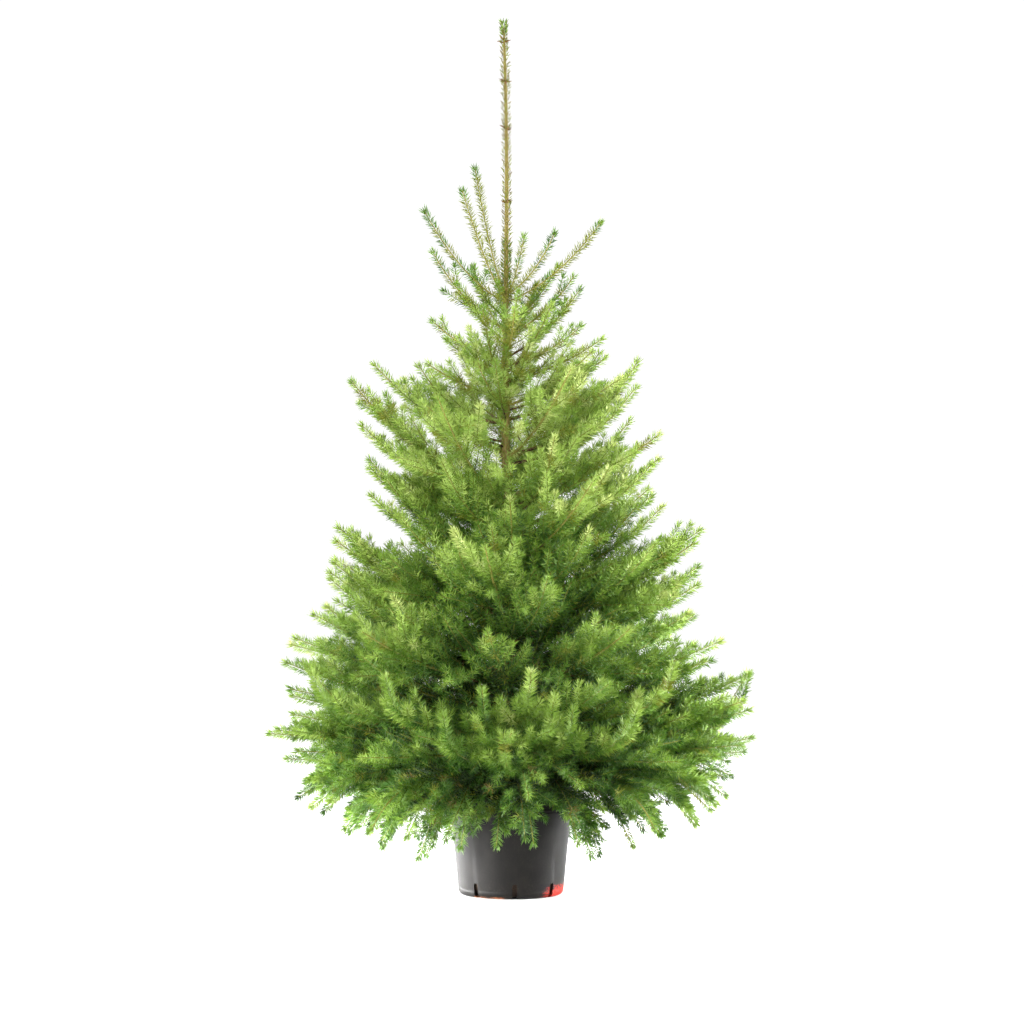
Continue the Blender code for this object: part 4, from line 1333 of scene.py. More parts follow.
@dataclass
class Crown:
    """The boughs of the tree with all their shoots, twigs and needles."""

    trunk: Trunk
    stagger: float = 0.007
    facing_shorter: float = 0.10
    top_height: float = 1.192
    # Azimuth in degrees from +X, reach and rise of the top whorl's shoots
    top_whorl: tuple[Triple, ...] = (
        (0.0, 0.190, 0.158), (72.0, 0.120, 0.134), (114.0, 0.155, 0.266),
        (180.0, 0.163, 0.182), (236.0, 0.152, 0.204), (308.0, 0.156, 0.114),
    )
    whorls: tuple[Whorl, ...] = (
        Whorl("crown_b", TWIGGY, 1.125, (350.0, 118.0, 198.0), (0.155, 0.140), (0.150, 0.115), 0.15),
        Whorl("crown_c", TWIGGY, 1.065, (34.0, 160.0, 276.0), (0.160, 0.190), (0.085, 0.085), 0.15),
        Whorl("crown_d", BRANCH, 0.985, (340.0, 82.0, 200.0, 250.0), (0.165, 0.185), (0.065, 0.105), 0.05),
        Whorl("crown_e", BRANCH, 0.880, (14.0, 128.0, 172.0, 300.0), (0.270, 0.255), (0.175, 0.170), 0.05),
        Whorl("middle_a", BRANCH, 0.785, (352.0, 64.0, 186.0, 244.0), (0.312, 0.308), (0.232, 0.140), 0.05),
        Whorl("middle_b", BRANCH, 0.665, (28.0, 106.0, 164.0, 300.0), (0.300, 0.340), (0.200, 0.150), 0.05),
        Whorl("lower_a", FAN, 0.550, (2.0, 74.0, 182.0, 262.0), (0.350, 0.370), (0.150, 0.160), 0.0),
        Whorl("lower_b", FAN, 0.425, (304.0, 28.0, 150.0, 228.0), (0.450, 0.430), (0.115, 0.125), 0.0),
        Whorl("lower_c", FAN, 0.290, (356.0, 92.0, 178.0, 270.0), (0.472, 0.464), (0.030, 0.105), -0.20),
        Whorl("skirt", SKIRT, 0.236, (318.0, 44.0, 136.0, 224.0), (0.385, 0.380), (-0.080, -0.075), -0.40),
    )
    # Lesser boughs, by height in mm, azimuth in degrees, reach and rise in mm: slender ones of the upper crown
    upper: Rows = (
        (1075, 352, 152, 135), (1025, 345, 200, 83), (968, 10, 205, 108), (990, 238, 85, 182), (965, 214, 108, 112),
        (1030, 186, 120, 80), (1090, 285, 100, 110), (1140, 15, 110, 120), (1105, 60, 120, 110),
        (1110, 205, 90, 80), (1045, 320, 120, 130), (1050, 120, 150, 90), (1030, 225, 130, 80),
        (1005, 72, 150, 100), (995, 300, 110, 120), (1155, 165, 70, 80), (1150, 255, 60, 70), (950, 262, 150, 110),
        (945, 118, 190, 80), (905, 188, 205, 70), (930, 344, 240, 100), (915, 30, 220, 110), (895, 222, 225, 85),
        (900, 95, 210, 110),
    )
    # Ones out to the crown's skin
    outer: Rows = (
        (600, 352, 395, 140), (530, 10, 390, 118), (420, 346, 425, 90), (330, 4, 478, 108), (285, 350, 482, 20),
        (262, 12, 448, -4), (510, 350, 375, 110), (460, 8, 362, 100), (400, 354, 400, 70), (300, 357, 475, 70),
        (250, 5, 430, -20), (860, 350, 262, 152), (950, 8, 190, 134), (800, 6, 248, 148), (720, 352, 288, 138),
        (680, 4, 288, 118), (600, 188, 345, 134), (560, 172, 382, 130), (520, 180, 362, 124), (490, 170, 358, 95),
        (460, 186, 395, 100), (440, 182, 440, 60), (430, 194, 455, 94), (400, 168, 460, 68), (360, 178, 445, 50),
        (320, 190, 440, 44), (280, 188, 430, 10), (256, 170, 462, 9), (250, 180, 400, -20), (800, 186, 300, 148),
        (740, 176, 296, 132), (670, 184, 276, 128), (940, 178, 175, 118), (270, 46, 430, 10), (300, 135, 430, 30),
        (285, 228, 430, 10), (275, 318, 430, 10), (520, 184, 378, 170), (380, 184, 452, 85), (305, 182, 483, 17),
        (360, 352, 385, 110), (350, 8, 365, 95), (740, 358, 300, 130), (630, 358, 305, 145), (590, 6, 300, 120),
        (520, 2, 375, 135), (250, 2, 442, -15), (245, 355, 428, -45), (240, 4, 402, -75), (480, 188, 375, 165),
        (340, 176, 440, 55), (880, 354, 264, 184), (266, 357, 480, 48), (262, 5, 470, 20),
    )
    # Ones that turn up steeply near their ends
    upturned: Rows = (
        (275, 2, 474, 165), (330, 275, 420, 133), (295, 281.5, 410, 120), (310, 262, 400, 118),
        (280, 287, 400, 111), (330, 236, 430, 120), (270, 252, 420, 110), (260, 268, 430, 85), (285, 304, 430, 110),
        (350, 318, 420, 120), (300, 25, 430, 120), (330, 60, 420, 130), (290, 88, 430, 120), (320, 112, 420, 120),
        (290, 142, 430, 110), (340, 205, 430, 110),
    )
    # Lower ones that hang over the pot's rim
    hanging: Rows = (
        (240, 340, 430, -52), (226, 8, 385, -97), (235, 14, 372, -67), (222, 332, 340, -104), (216, 318, 215, -140),
        (240, 172, 410, -40), (236, 196, 420, -67), (226, 162, 360, -94), (219, 208, 300, -130),
        (215, 220, 240, -142), (215, 262, 205, -100), (214, 283, 195, -95), (218, 247, 250, -105),
        (220, 300, 260, -100), (222, 90, 300, -105), (217, 60, 240, -130), (217, 125, 235, -130),
        (222, 24, 300, -120), (224, 275, 300, -85), (228, 235, 350, -90), (226, 110, 340, -100),
        (226, 45, 350, -95), (218, 150, 290, -125), (222, 186, 330, -110), (220, 350, 310, -112),
        (235, 184, 385, -85), (228, 176, 335, -100), (240, 190, 440, -55), (222, 200, 270, -120),
        (232, 352, 370, -90), (228, 8, 300, -110), (238, 0, 420, -75), (225, 345, 250, -125), (218, 330, 200, -130),
        (218, 213, 200, -130), (224, 165, 300, -110),
    )
    droop: float = 3.0
    filled: Pair = (0.225, 0.780)
    fill_gap: float = 0.0118
    fill_share: Pair = (0.66, 0.98)
    fill_slope_draw: float = 0.05
    fill_reach: float = 0.4
    gap_draw: Pair = (0.7, 1.3)
    # Height, and the rise of the boughs that fill it for each unit of their reach
    fill_rises: Knots = (
        (0.22, -0.20), (0.27, 0.05), (0.36, 0.27), (0.50, 0.43), (0.70, 0.60), (0.90, 0.68),
    )
    fill_seed: int = 70
    # The first seeds of the boughs' own draws: top whorl, whorls (and from row to row), rows, filling, inside
    top_seed: int = 100
    whorl_seed: int = 1007
    row_seeds: int = 20
    lesser_seed: int = 3000
    filling_seed: int = 4000
    inside_seed: int = 6000
    # How much lower a whorl bough's seed for its reach is than its own
    reach_seed: int = 7
    inside_gap: float = 0.0056
    inside_reach: Pair = (0.11, 0.23)
    inside_slope: Pair = (0.1, 0.9)
    inside_lift: float = 0.1
    limb_sides: int = 8
    limb_band: float = 0.006
    limb_relief: float = 0.10
    limb_grain: float = 0.008
    limb_furrows: float = 1.6
    limb_shift: float = 50.0
    limb_inset: float = 0.0004
    limb_sunk: float = 0.004
    # Limbs are young above this height, and grow old over this much below it
    young_height: Pair = (1.00, 0.4)
    young_share: float = 0.45
    young_over: float = 0.3
    # The lengths from which a twig has bark, and from which it is bent
    woody_from: float = 0.16
    bent_from: float = 0.07

    def __post_init__(self) -> None:
        """Plans the boughs."""
        self.boughs: list[Bough] = []
        for i, (azimuth, reach, rise) in enumerate(self.top_whorl):
            height = self.top_height + self.stagger * (i % 3 - 1)
            sizes = (height, azimuth, reach, rise, 0.0, self.top_seed + i)
            self.boughs.append(Bough(self.trunk, f"crown_a{i + 1}", SHOOT, *sizes))
        for row, whorl in enumerate(self.whorls):
            for i, azimuth in enumerate(whorl.azimuths):
                seed = self.whorl_seed + self.row_seeds * row + i
                rightward = 0.5 + 0.5 * math.cos(math.radians(azimuth))
                reach = whorl.reach[0] + (whorl.reach[1] - whorl.reach[0]) * rightward
                rise = whorl.rise[0] + (whorl.rise[1] - whorl.rise[0]) * rightward
                facing = abs(math.sin(math.radians(azimuth)))
                reach *= 1.0 - self.facing_shorter * facing * random.Random(seed - self.reach_seed).random()
                height = whorl.height + self.stagger * (i % 3 - 1)
                sizes = (height, azimuth, reach, rise, whorl.lift, seed)
                self.boughs.append(Bough(self.trunk, f"{whorl.name}{i + 1}", whorl.kind, *sizes))

    def between(self, spaces: Spaces) -> list[Bough]:
        """The lesser boughs between the whorls: those with places of their own, and those that fill it up."""
        lesser: list[Bough] = []
        for kind, rows in self.rows():
            for i, (height, azimuth, reach, rise) in enumerate(rows):
                lift = min(rise / 1000, 0.0) * self.droop
                sizes = (height / 1000, azimuth, reach / 1000, rise / 1000, lift, self.lesser_seed + i)
                lesser.append(Bough(self.trunk, "lesser", kind, *sizes))
        draw = random.Random(self.fill_seed)
        heights, rises = zip(*self.fill_rises)
        height, turn = self.filled[0], 0.0
        while height < self.filled[1]:
            slope = float(np.interp(height, heights, rises))
            slope += draw.uniform(-self.fill_slope_draw, self.fill_slope_draw)
            outward = np.array((math.cos(turn), math.sin(turn), 0.0))
            tip = outward * self.fill_reach + UP * (height + slope * self.fill_reach)
            reach = float(spaces.reach(tip[None])[0]) * draw.uniform(*self.fill_share)
            seed = self.filling_seed + len(lesser)
            sizes = (height, math.degrees(turn), reach, slope * reach, min(slope, 0.0), seed)
            lesser.append(Bough(self.trunk, "lesser", BETWEEN, *sizes))
            height += self.fill_gap * draw.uniform(*self.gap_draw)
            turn += GOLDEN_TURN
        height = self.filled[0]
        while height < self.filled[1]:
            reach = draw.uniform(*self.inside_reach)
            rise = reach * draw.uniform(*self.inside_slope)
            sizes = (height, math.degrees(turn), reach, rise, self.inside_lift, self.inside_seed + len(lesser))
            lesser.append(Bough(self.trunk, "lesser", INSIDE, *sizes))
            height += self.inside_gap * draw.uniform(*self.gap_draw)
            turn += GOLDEN_TURN
        return lesser

    def rows(self) -> tuple[tuple[Kind, Rows], ...]:
        """The kinds of the lesser boughs that have places of their own, with those places."""
        return (SLENDER, self.upper), (BETWEEN, self.outer), (HANGING, self.hanging), (UPTURNED, self.upturned)

    def build_limbs(self, finish: BarkFinish) -> bpy.types.Object:
        """The bark of all boughs in relief, from inside the trunk to their tips."""
        joined = bmesh.new()
        ages: list[float] = []
        for bough in self.boughs:
            spine = bough.spine
            bm = straight_rod(self.limb_sides, round(spine.length / self.limb_band))
            shift = bough.random.uniform(0.0, self.limb_shift)
            for vert in bm.verts:
                x, y, share = vert.co
                place, heading = spine.at(share), spine.heading(share)
                side, over = across(heading)
                along = share * spine.length / self.limb_grain + shift
                grain = Vector((x * self.limb_furrows, y * self.limb_furrows, along))
                rough = 1.0 + self.limb_relief * noise.fractal(grain, 1.0, 2.0, 2)
                radius = (bough.radius(share) - self.limb_inset) * rough
                old = min(max((self.young_share - share) / self.young_over + 0.5, 0.0), 1.0)
                from_height, fall = self.young_height
                ages.append(old * min(max((from_height - place[2]) / fall, 0.0), 1.0))
                inside = -bough.out * self.limb_sunk if share < 1e-6 else 0.0
                vert.co = Vector(place + (side * x + over * y) * radius + inside)
            poured(bm, joined)
        nodes = [f"bough_{bough.name}" for bough in self.boughs if bough.kind.limb]
        piece = from_bmesh("bough_bark", joined, finish.material())
        set_ages(piece.data, ages)
        return carried(piece, nodes)

    def build(self, sprays: Sprays) -> None:
        """Grows the shoots, and makes their twigs and needles."""
        grower = Grower(self.trunk, self.boughs, self.between(Spaces(self.trunk, self.boughs)))
        shoots = grower.grow()
        nodes = [f"mass_{bough.name}" for bough in self.boughs] + ["mass_leader_tuft"]
        rind = BarkFinish("twig_bark", young=srgb(106, 112, 44), bloom=srgb(120, 120, 54))
        woody = Rods(rind.material(), "twigs_woody")
        young = Rods(PlainFinish("twig_olive", srgb(94, 112, 36)).material(), "twigs_young")
        for shoot in shoots:
            if shoot.order == 0 and shoot.bough >= 0:
                continue
            sides = 4 if shoot.order == 0 else 3
            if shoot.path.length > self.woody_from:
                woody.add(shoot, sides, 4)
            else:
                young.add(shoot, sides, 1 + (shoot.path.length > self.bent_from))
        woody.pieces("bark", nodes)
        young.pieces("bark", nodes)
        Brush(grower.spaces).clothe(shoots, sprays)
        LOG.info("%d shoots, %.0f m in all", len(shoots), sum(shoot.path.length for shoot in shoots))


# ---------------------------------------------------------------- the leader


@dataclass
class Leader:
    """The top shoot above the last whorl: short needles, side buds and the bright tuft at the tip."""

    trunk: Trunk
    foot: float = 1.192
    needle: float = 0.0125
    thick: float = 1350.0
    lean: float = math.radians(44.0)
    half_width: float = 0.00100
    bud_heights: tuple[float, ...] = (1.384, 1.530, 1.624, 1.706)
    buds_each: int = 4
    bud_length: float = 0.012
    bud_radius: float = 0.0020
    bud_sides: int = 7
    bud_turn: float = 0.3
    bud_rise: float = 0.003
    bud_root: float = 0.8
    bud_lean: Pair = (0.10, 0.45)
    bud_length_draw: Pair = (0.75, 1.15)
    bud_point: float = 0.25
    # A bud's scales: where each cone starts, its width and its height, as shares of the bud
    bud_cones: tuple[Triple, ...] = ((0.0, 1.0, 0.55), (0.30, 0.8, 0.70))
    tuft_stretch: float = 0.026
    tuft: int = 110
    tuft_steep: float = 0.8
    below_top: float = 0.010
    size_draw: Pair = (0.8, 1.1)
    lean_draw: float = 0.20
    turn_draw: float = 0.3
    most_spin: float = 1.2
    sunk: float = 0.85
    # How far a needle's back is bowed out from its line, and at which share of its length
    bow_turn: float = 0.2
    bow_share: float = 0.45
    tuft_size: Pair = (0.010, 0.013)
    tuft_leans: Pair = (math.radians(12.0), math.radians(50.0))
    # The clothed stretches of the young trunk, from height to height, and their needles' length
    clothed: tuple[Triple, ...] = (
        (0.860, 0.990, 0.0135), (0.998, 1.098, 0.0135), (1.122, 1.305, 0.0130),
    )
    clothed_thick: float = 1900.0
    clothed_lean: float = math.radians(50.0)
    collar_reach: float = 0.004
    collar_needle: float = 0.008
    collar_thick: float = 3500.0
    collar_lean: float = math.radians(58.0)
    seed: int = 77

    def build(self, sprays: Sprays) -> None:
        """Sets the leader and the young trunk with needles, and makes the buds."""
        rng = np.random.default_rng(self.seed)
        top = self.trunk.tree_top - self.below_top
        self.rows(rng, sprays, self.foot, top, self.needle, self.thick, self.lean, (Tint.OLIVE, Tint.STRAW))
        for low, high, needle in self.clothed:
            tints = (Tint.LEAF, Tint.OLIVE, Tint.OLIVE)
            self.rows(rng, sprays, low, high, needle, self.clothed_thick, self.clothed_lean, tints)
        for height in self.bud_heights:
            ends = (height - self.collar_reach, height + self.collar_reach)
            sizes = (self.collar_needle, self.collar_thick, self.collar_lean)
            self.rows(rng, sprays, *ends, *sizes, (Tint.STRAW, Tint.OLIVE))
        heights = rng.uniform(top - self.tuft_stretch, top, self.tuft)
        most = (self.trunk.tree_top - heights) / self.tuft_steep
        size = np.minimum(rng.uniform(*self.tuft_size, self.tuft), most)
        lean = rng.uniform(*self.tuft_leans, self.tuft)
        green = rng.choice([tint.number for tint in (Tint.LEAF, Tint.FRESH, Tint.LIGHT)], self.tuft)
        self.set_needles(rng, sprays, heights, size, lean, green)
        self.build_buds()

    def rows(
        self, rng: np.random.Generator, sprays: Sprays, low: float, high: float, needle: float, thick: float,
        lean: float, tints: Sequence[Tint],
    ) -> None:
        """Sets a stretch of the trunk with needles."""
        count = int((high - low) * thick)
        heights = low + (high - low) * (np.arange(count) + rng.random(count)) / count
        size = needle * rng.uniform(*self.size_draw, count)
        dealt = rng.choice([tint.number for tint in tints], count)
        self.set_needles(rng, sprays, heights, size, lean + rng.normal(0.0, self.lean_draw, count), dealt)

    def set_needles(
        self, rng: np.random.Generator, sprays: Sprays, heights: np.ndarray, size: np.ndarray, lean: np.ndarray,
        tints: np.ndarray,
    ) -> None:
        """Adds needles that lean up the trunk at heights."""
        turn = np.arange(len(heights)) * GOLDEN_TURN + rng.normal(0.0, self.turn_draw, len(heights))
        radial = np.stack([np.cos(turn), np.sin(turn), np.zeros_like(turn)], axis=1)
        roots = self.trunk.axis(heights) + radial * (self.trunk.radius(heights) * self.sunk)[:, None]
        aim = UP * np.cos(lean)[:, None] + radial * np.sin(lean)[:, None]
        bowed = lean + self.bow_turn
        bow = UP * np.cos(bowed)[:, None] + radial * np.sin(bowed)[:, None]
        spin = rng.uniform(-self.most_spin, self.most_spin, len(heights))
        level = np.cross(UP, radial)
        flat = level * np.cos(spin)[:, None] + np.cross(level, aim) * np.sin(spin)[:, None]
        backs = roots + bow * (size * self.bow_share)[:, None]
        sprays.add(roots, roots + aim * size[:, None], backs, flat * self.half_width, tints)

    def build_buds(self) -> bpy.types.Object:
        """The small scaly side buds, in loose whorls up the leader."""
        draw = random.Random(self.seed)
        joined = bmesh.new()
        for height in self.bud_heights:
            first = draw.uniform(0.0, math.tau)
            for i in range(self.buds_each):
                turn = first + math.tau * i / self.buds_each + draw.uniform(-self.bud_turn, self.bud_turn)
                at = height + draw.uniform(-self.bud_rise, self.bud_rise)
                out = Vector((math.cos(turn), math.sin(turn), 0.0))
                root = Vector(self.trunk.axis(at)) + out * float(self.trunk.radius(at)) * self.bud_root
                aim = (out + Vector((0.0, 0.0, draw.uniform(*self.bud_lean)))).normalized()
                length = self.bud_length * draw.uniform(*self.bud_length_draw)
                upright = aim.to_track_quat("Z", "Y").to_matrix().to_4x4()
                for low, wide, tall in self.bud_cones:
                    radius = self.bud_radius * wide
                    bmesh.ops.create_cone(
                        joined, cap_ends=True, segments=self.bud_sides, radius1=radius,
                        radius2=radius * self.bud_point, depth=length * tall,
                        matrix=Matrix.Translation(root + aim * length * (low + tall / 2)) @ upright,
                    )
        finish = PlainFinish("bud_scales", srgb(104, 66, 36), 0.6)
        return carried(from_bmesh("leader_buds", joined, finish.material()), [])


# ---------------------------------------------------------------- pot and soil


@dataclass(frozen=True)
class NurseryPot:
    """The round plastic container with its rolled rim, rounded foot and drainage slots."""

    height: float = 0.200
    rim_radius: float = 0.127
    top_radius: float = 0.1235
    foot_radius: float = 0.104
    wall: float = 0.0025
    floor: float = 0.004
    foot_round: float = 0.012
    rim_depth: float = 0.014
    lip: float = 0.0030
    steps: int = 128
    round_steps: int = 6
    seam_height: float = 0.0135
    seam_depth: float = 0.0002
    seam_rise: float = 0.0012
    ring_heights: tuple[float, ...] = (0.168, 0.174)
    ring_depth: float = 0.0006
    ring_rise: float = 0.0014
    rim_chamfer: Pair = (0.0008, 0.0012)
    inner_edge: float = 0.006
    slots: int = 8
    slot_turn: float = math.radians(-86.0)
    slot_width: float = 0.010
    slot_top: float = 0.030
    slot_below: float = 0.004
    slot_round: float = 0.47
    slot_steps: int = 6
    slot_radii: Pair = (0.086, 0.112)

    def radius(self, height: float) -> float:
        """The outer wall's radius at a height."""
        return self.foot_radius + (self.top_radius - self.foot_radius) * height / self.height

    def corner(self, inset: float) -> list[Pair]:
        """The rounded foot, from the underside up to the wall, drawn in by inset."""
        size = self.foot_round - inset
        middle = self.radius(self.foot_round) - self.foot_round
        turns = [math.pi / 2 * i / self.round_steps for i in range(self.round_steps + 1)]
        return [(middle + size * math.sin(t), self.foot_round - size * math.cos(t)) for t in turns]

    def profile(self) -> list[Pair]:
        """The wall's outline, from the middle of the underside round the rim to the middle of the floor."""
        outline = [(0.0, 0.0), *self.corner(0.0)]
        for height, step in ((0.0, 0.0), (self.seam_rise, self.seam_depth), (self.seam_rise * 2, 0.0)):
            at = self.seam_height + height
            outline.append((self.radius(at) - step, at))
        for ring in self.ring_heights:
            for height, step in ((-self.ring_rise, 0.0), (0.0, self.ring_depth), (self.ring_rise, 0.0)):
                outline.append((self.radius(ring + height) + step, ring + height))
        under = self.height - self.rim_depth
        inset, up = self.rim_chamfer
        outline += [(self.radius(under), under), (self.rim_radius - inset, under), (self.rim_radius, under + up)]
        for i in range(self.round_steps + 1):
            turn = math.pi * i / self.round_steps
            middle = self.rim_radius - self.lip / 2
            top = self.height - self.lip / 2
            outline.append((middle + self.lip / 2 * math.cos(turn), top + self.lip / 2 * math.sin(turn)))
        inner = self.top_radius - self.wall
        outline += [(inner, self.height - self.inner_edge), (inner, under)]
        outline += [(r, h + self.floor - self.wall) for r, h in reversed(self.corner(self.wall))]
        return [*outline, (0.0, self.floor)]

    def build(self, finish: PotFinish) -> bpy.types.Object:
        """The pot, turned from its outline and cut by its slots."""
        pot = from_bmesh("nursery_pot", turned(self.profile(), self.steps), finish.material())
        cutter = self.slot_cutter()
        cut = pot.modifiers.new("slots", "BOOLEAN")
        cut.operation = "DIFFERENCE"
        cut.object = cutter
        cut.solver = "EXACT"
        bpy.context.view_layer.update()
        mesh = bpy.data.meshes.new_from_object(pot.evaluated_get(bpy.context.evaluated_depsgraph_get()))
        pot.modifiers.clear()
        pot.data = rounded(mesh)
        bpy.data.objects.remove(cutter, do_unlink=True)
        return carried(pot, ["pot"])

    def slot_cutter(self) -> bpy.types.Object:
        """Eight upright slots with round tops."""
        bm = bmesh.new()
        inner, outer = self.slot_radii
        for i in range(self.slots):
            slot = bmesh.new()
            bmesh.ops.create_cube(slot, size=1.0)
            size = Matrix.Diagonal((outer - inner, self.slot_width, self.slot_top + self.slot_below, 1.0))
            bmesh.ops.transform(slot, matrix=size, verts=slot.verts)
            top = [e for e in slot.edges if all(v.co.z > 0 for v in e.verts)]
            along = [e for e in top if e.calc_length() > (self.slot_width + outer - inner) / 2]
            bmesh.ops.bevel(
                slot, geom=along, offset=self.slot_width * self.slot_round, segments=self.slot_steps,
                profile=0.5, affect="EDGES", material=-1,
            )
            lift = Matrix.Translation(((inner + outer) / 2, 0.0, (self.slot_top - self.slot_below) / 2))
            turn = Matrix.Rotation(self.slot_turn + math.tau * i / self.slots, 4, "Z")
            bmesh.ops.transform(slot, matrix=turn @ lift, verts=slot.verts)
            poured(slot, bm)
        return from_bmesh("slot_cutter", bm, bpy.data.materials.new("cutter"))


@dataclass(frozen=True)
class PottingSoil:
    """The root ball: its crumbly surface below the rim and its side behind the slots."""

    top: float = 0.184
    bottom: float = 0.0044
    top_radius: float = 0.1180
    foot_radius: float = 0.0980
    foot_slope: float = 0.012
    foot_inset: float = 0.010
    side_bands: int = 8
    rings: int = 26
    steps: int = 80
    lump: float = 0.0022
    lumps_each_metre: float = 90.0
    settled: float = 0.0015
    crumbs: int = 420
    crumb_radius: Pair = (0.0012, 0.0036)
    # The share of the surface's area, from its middle, on which they lie, and how high for their size
    crumb_area: Pair = (0.03, 0.95)
    crumb_rise: float = 0.15
    crumb_tilt: float = 0.5
    crumb_length: Pair = (0.8, 2.2)
    crumb_width: Pair = (0.7, 1.2)
    crumb_height: float = 0.6
    seed: int = 5

    def build(self, finish: SoilFinish, trunk: Trunk) -> bpy.types.Object:
        """The soil, with crumbs of bark and peat on it."""
        draw = random.Random(self.seed)
        outline = [(self.top_radius * i / self.rings, self.top) for i in range(self.rings + 1)]
        for i in range(1, self.side_bands + 1):
            share = i / self.side_bands
            radius = self.top_radius + (self.foot_radius - self.top_radius) * share
            outline.append((radius, self.top + (self.bottom + self.foot_slope - self.top) * share))
        outline += [(self.foot_radius - self.foot_inset, self.bottom), (0.0, self.bottom)]
        bm = turned(outline, self.steps)
        for vert in bm.verts:
            if vert.co.z > self.top - self.lump:
                lumps = noise.fractal(vert.co * self.lumps_each_metre, 0.9, 2.1, 4)
                vert.co.z += lumps * self.lump - self.settled
        for _ in range(self.crumbs):
            turn, out = draw.uniform(0.0, math.tau), math.sqrt(draw.uniform(*self.crumb_area)) * self.top_radius
            size = draw.uniform(*self.crumb_radius)
            height = self.top + size * self.crumb_rise
            place = Matrix.Translation((out * math.cos(turn), out * math.sin(turn), height))
            shape = Matrix.Rotation(draw.uniform(0.0, math.tau), 4, "Z")
            shape @= Matrix.Rotation(draw.uniform(-self.crumb_tilt, self.crumb_tilt), 4, "X")
            length, width = draw.uniform(*self.crumb_length), draw.uniform(*self.crumb_width)
            shape @= Matrix.Diagonal((length, width, self.crumb_height, 1.0))
            bmesh.ops.create_icosphere(bm, subdivisions=1, radius=size, matrix=place @ shape)
        return carried(from_bmesh("root_ball_soil", bm, finish.material()), ["soil"])


# ---------------------------------------------------------------- studio


@dataclass(frozen=True)
class Panel:
    """A soft rectangular light, turned to a height on the plant's axis and spread by degrees."""

    name: str
    place: Triple
    size: Pair
    power: float
    height: float
    spread: float = 180.0

    def build(self) -> None:
        """Hangs the light."""
        data = bpy.data.lights.new(self.name, "AREA")
        data.shape = "RECTANGLE"
        data.size, data.size_y = self.size
        data.energy = self.power
        data.spread = math.radians(self.spread)
        light = bpy.data.objects.new(self.name, data)
        light.location = self.place
        aim = Vector((0.0, 0.0, self.height)) - Vector(self.place)
        light.rotation_euler = aim.to_track_quat("-Z", "Y").to_euler()
        bpy.context.scene.collection.objects.link(light)


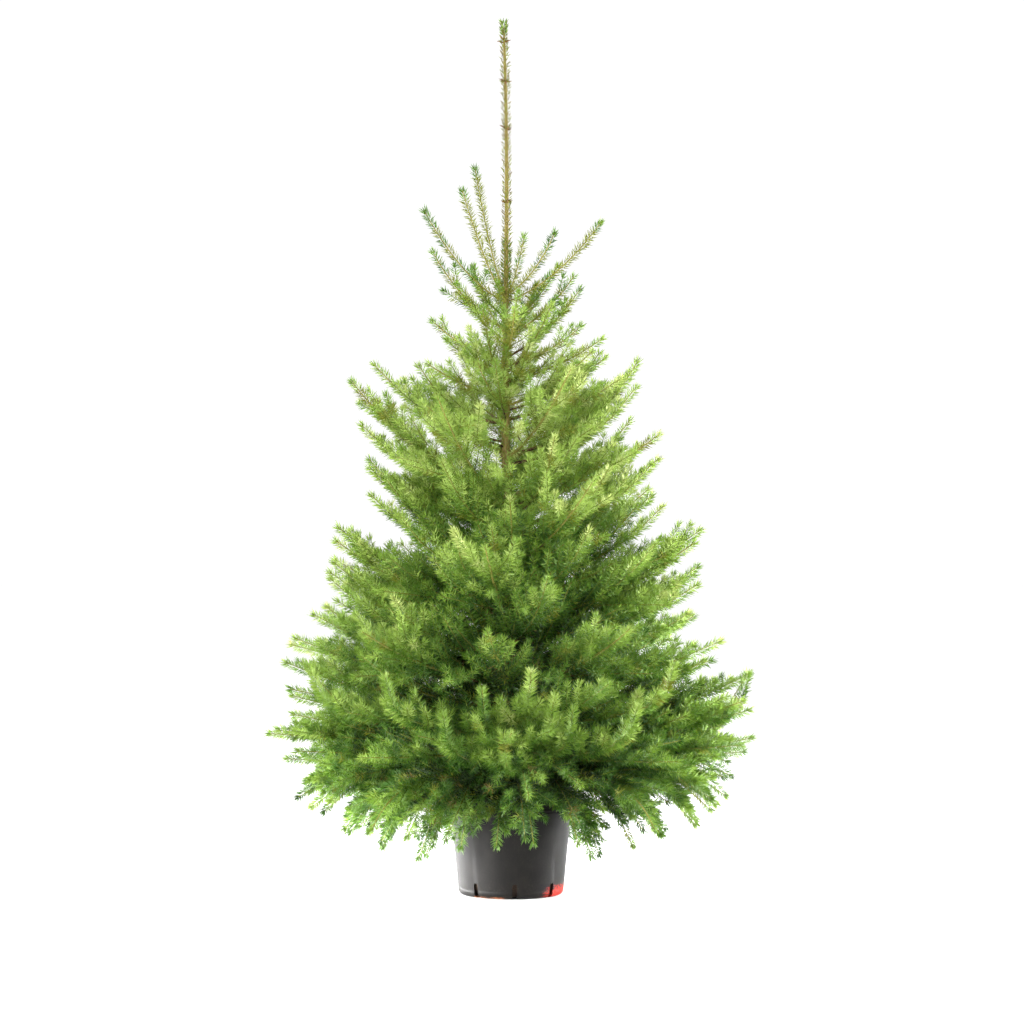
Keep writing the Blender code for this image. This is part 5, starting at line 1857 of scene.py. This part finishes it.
@dataclass(frozen=True)
class Studio:
    """A plain pale floor, plain soft light and the camera at the photograph's angle."""

    floor_size: float = 60.0
    camera_place: Triple = (0.002, -7.0, 0.764)
    lens: float = 123.05
    sees_to: float = 200.0
    world: float = 1.05
    floor: Colour = (0.96, 0.96, 0.96)
    floor_drop: float = 0.0006
    panels: tuple[Panel, ...] = (
        Panel("key", (-2.2, -3.2, 3.8), (1.8, 1.8), 70.0, 0.8),
        Panel("top", (0.2, -0.2, 7.5), (4.0, 4.0), 440.0, 0.8),
        Panel("left", (-2.2, 0.42, 0.62), (2.8, 1.2), 100.0, 0.55),
        Panel("right", (2.2, 0.50, 0.62), (1.8, 1.2), 165.0, 0.55),
        Panel("front", (0.0, -4.5, 1.10), (0.8, 0.8), 1.1, 0.99, 12.0),
        Panel("low_left", (-4.0, -1.8, 0.45), (0.8, 0.5), 2.3, 0.33, 10.0),
        Panel("low_right", (4.4, -0.6, 0.45), (0.8, 0.5), 2.8, 0.33, 10.0),
    )
    # Small lights for the pot's sides: their direction in degrees from +X, and power
    foot_lights: Knots = (
        (226.0, 0.6), (208.0, 0.9), (190.0, 1.1), (172.0, 1.3), (152.0, 1.6), (134.0, 1.3), (14.0, 0.8),
    )
    foot_reach: float = 1.3
    foot_height: float = 0.09
    foot_size: Pair = (0.4, 0.16)
    foot_aim: float = 0.05
    foot_spread: float = 26.0

    def build(self) -> None:
        """Makes the floor, the lights and the camera."""
        scene = bpy.context.scene
        scene.view_settings.view_transform = "Standard"
        world = bpy.data.worlds.new("studio_world")
        world.use_nodes = True
        world.node_tree.nodes["Background"].inputs["Color"].default_value = (1.0, 1.0, 1.0, 1.0)
        world.node_tree.nodes["Background"].inputs["Strength"].default_value = self.world
        scene.world = world
        bm = bmesh.new()
        bmesh.ops.create_grid(bm, x_segments=1, y_segments=1, size=self.floor_size / 2)
        floor = from_bmesh("studio_floor", bm, Graph("studio_floor", self.floor, 0.9).material)
        floor.location.z = -self.floor_drop
        floor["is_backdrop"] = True
        for panel in self.panels:
            panel.build()
        for i, (turn, power) in enumerate(self.foot_lights):
            angle = math.radians(turn)
            place = (self.foot_reach * math.cos(angle), self.foot_reach * math.sin(angle), self.foot_height)
            Panel(f"foot_{i + 1}", place, self.foot_size, power, self.foot_aim, self.foot_spread).build()
        data = bpy.data.cameras.new("photo_camera")
        data.lens = self.lens
        data.clip_end = self.sees_to
        camera = bpy.data.objects.new("photo_camera", data)
        camera.location = self.camera_place
        camera.rotation_euler = (math.pi / 2, 0.0, 0.0)
        scene.collection.objects.link(camera)
        scene.camera = camera


def write_sizes() -> None:
    """Measures the CAD model's box and the visual model's, and keeps neither."""
    boxes = {"cad": CAD_BOUNDS, "visual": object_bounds()}
    {name: [list(corner) for corner in box] for name, box in boxes.items()}


def main() -> None:
    """Builds every piece in order."""
    logging.basicConfig(level=logging.INFO, format="%(name)s: %(message)s")
    NurseryPot().build(PotFinish())
    trunk = Trunk()
    PottingSoil().build(SoilFinish(), trunk)
    crown = Crown(trunk)
    stem = BarkFinish("stem_bark", old=srgb(84, 72, 46), young=srgb(112, 104, 50), bloom=srgb(148, 132, 80))
    trunk.build(stem, crown.boughs)
    sprays = Sprays()
    crown.build(sprays)
    crown.build_limbs(BarkFinish())
    Leader(trunk).build(sprays)
    sprays.pieces([f"mass_{bough.name}" for bough in crown.boughs] + ["mass_leader_tuft"])
    Studio().build()
    write_sizes()


if __name__ == "__main__":
    main()
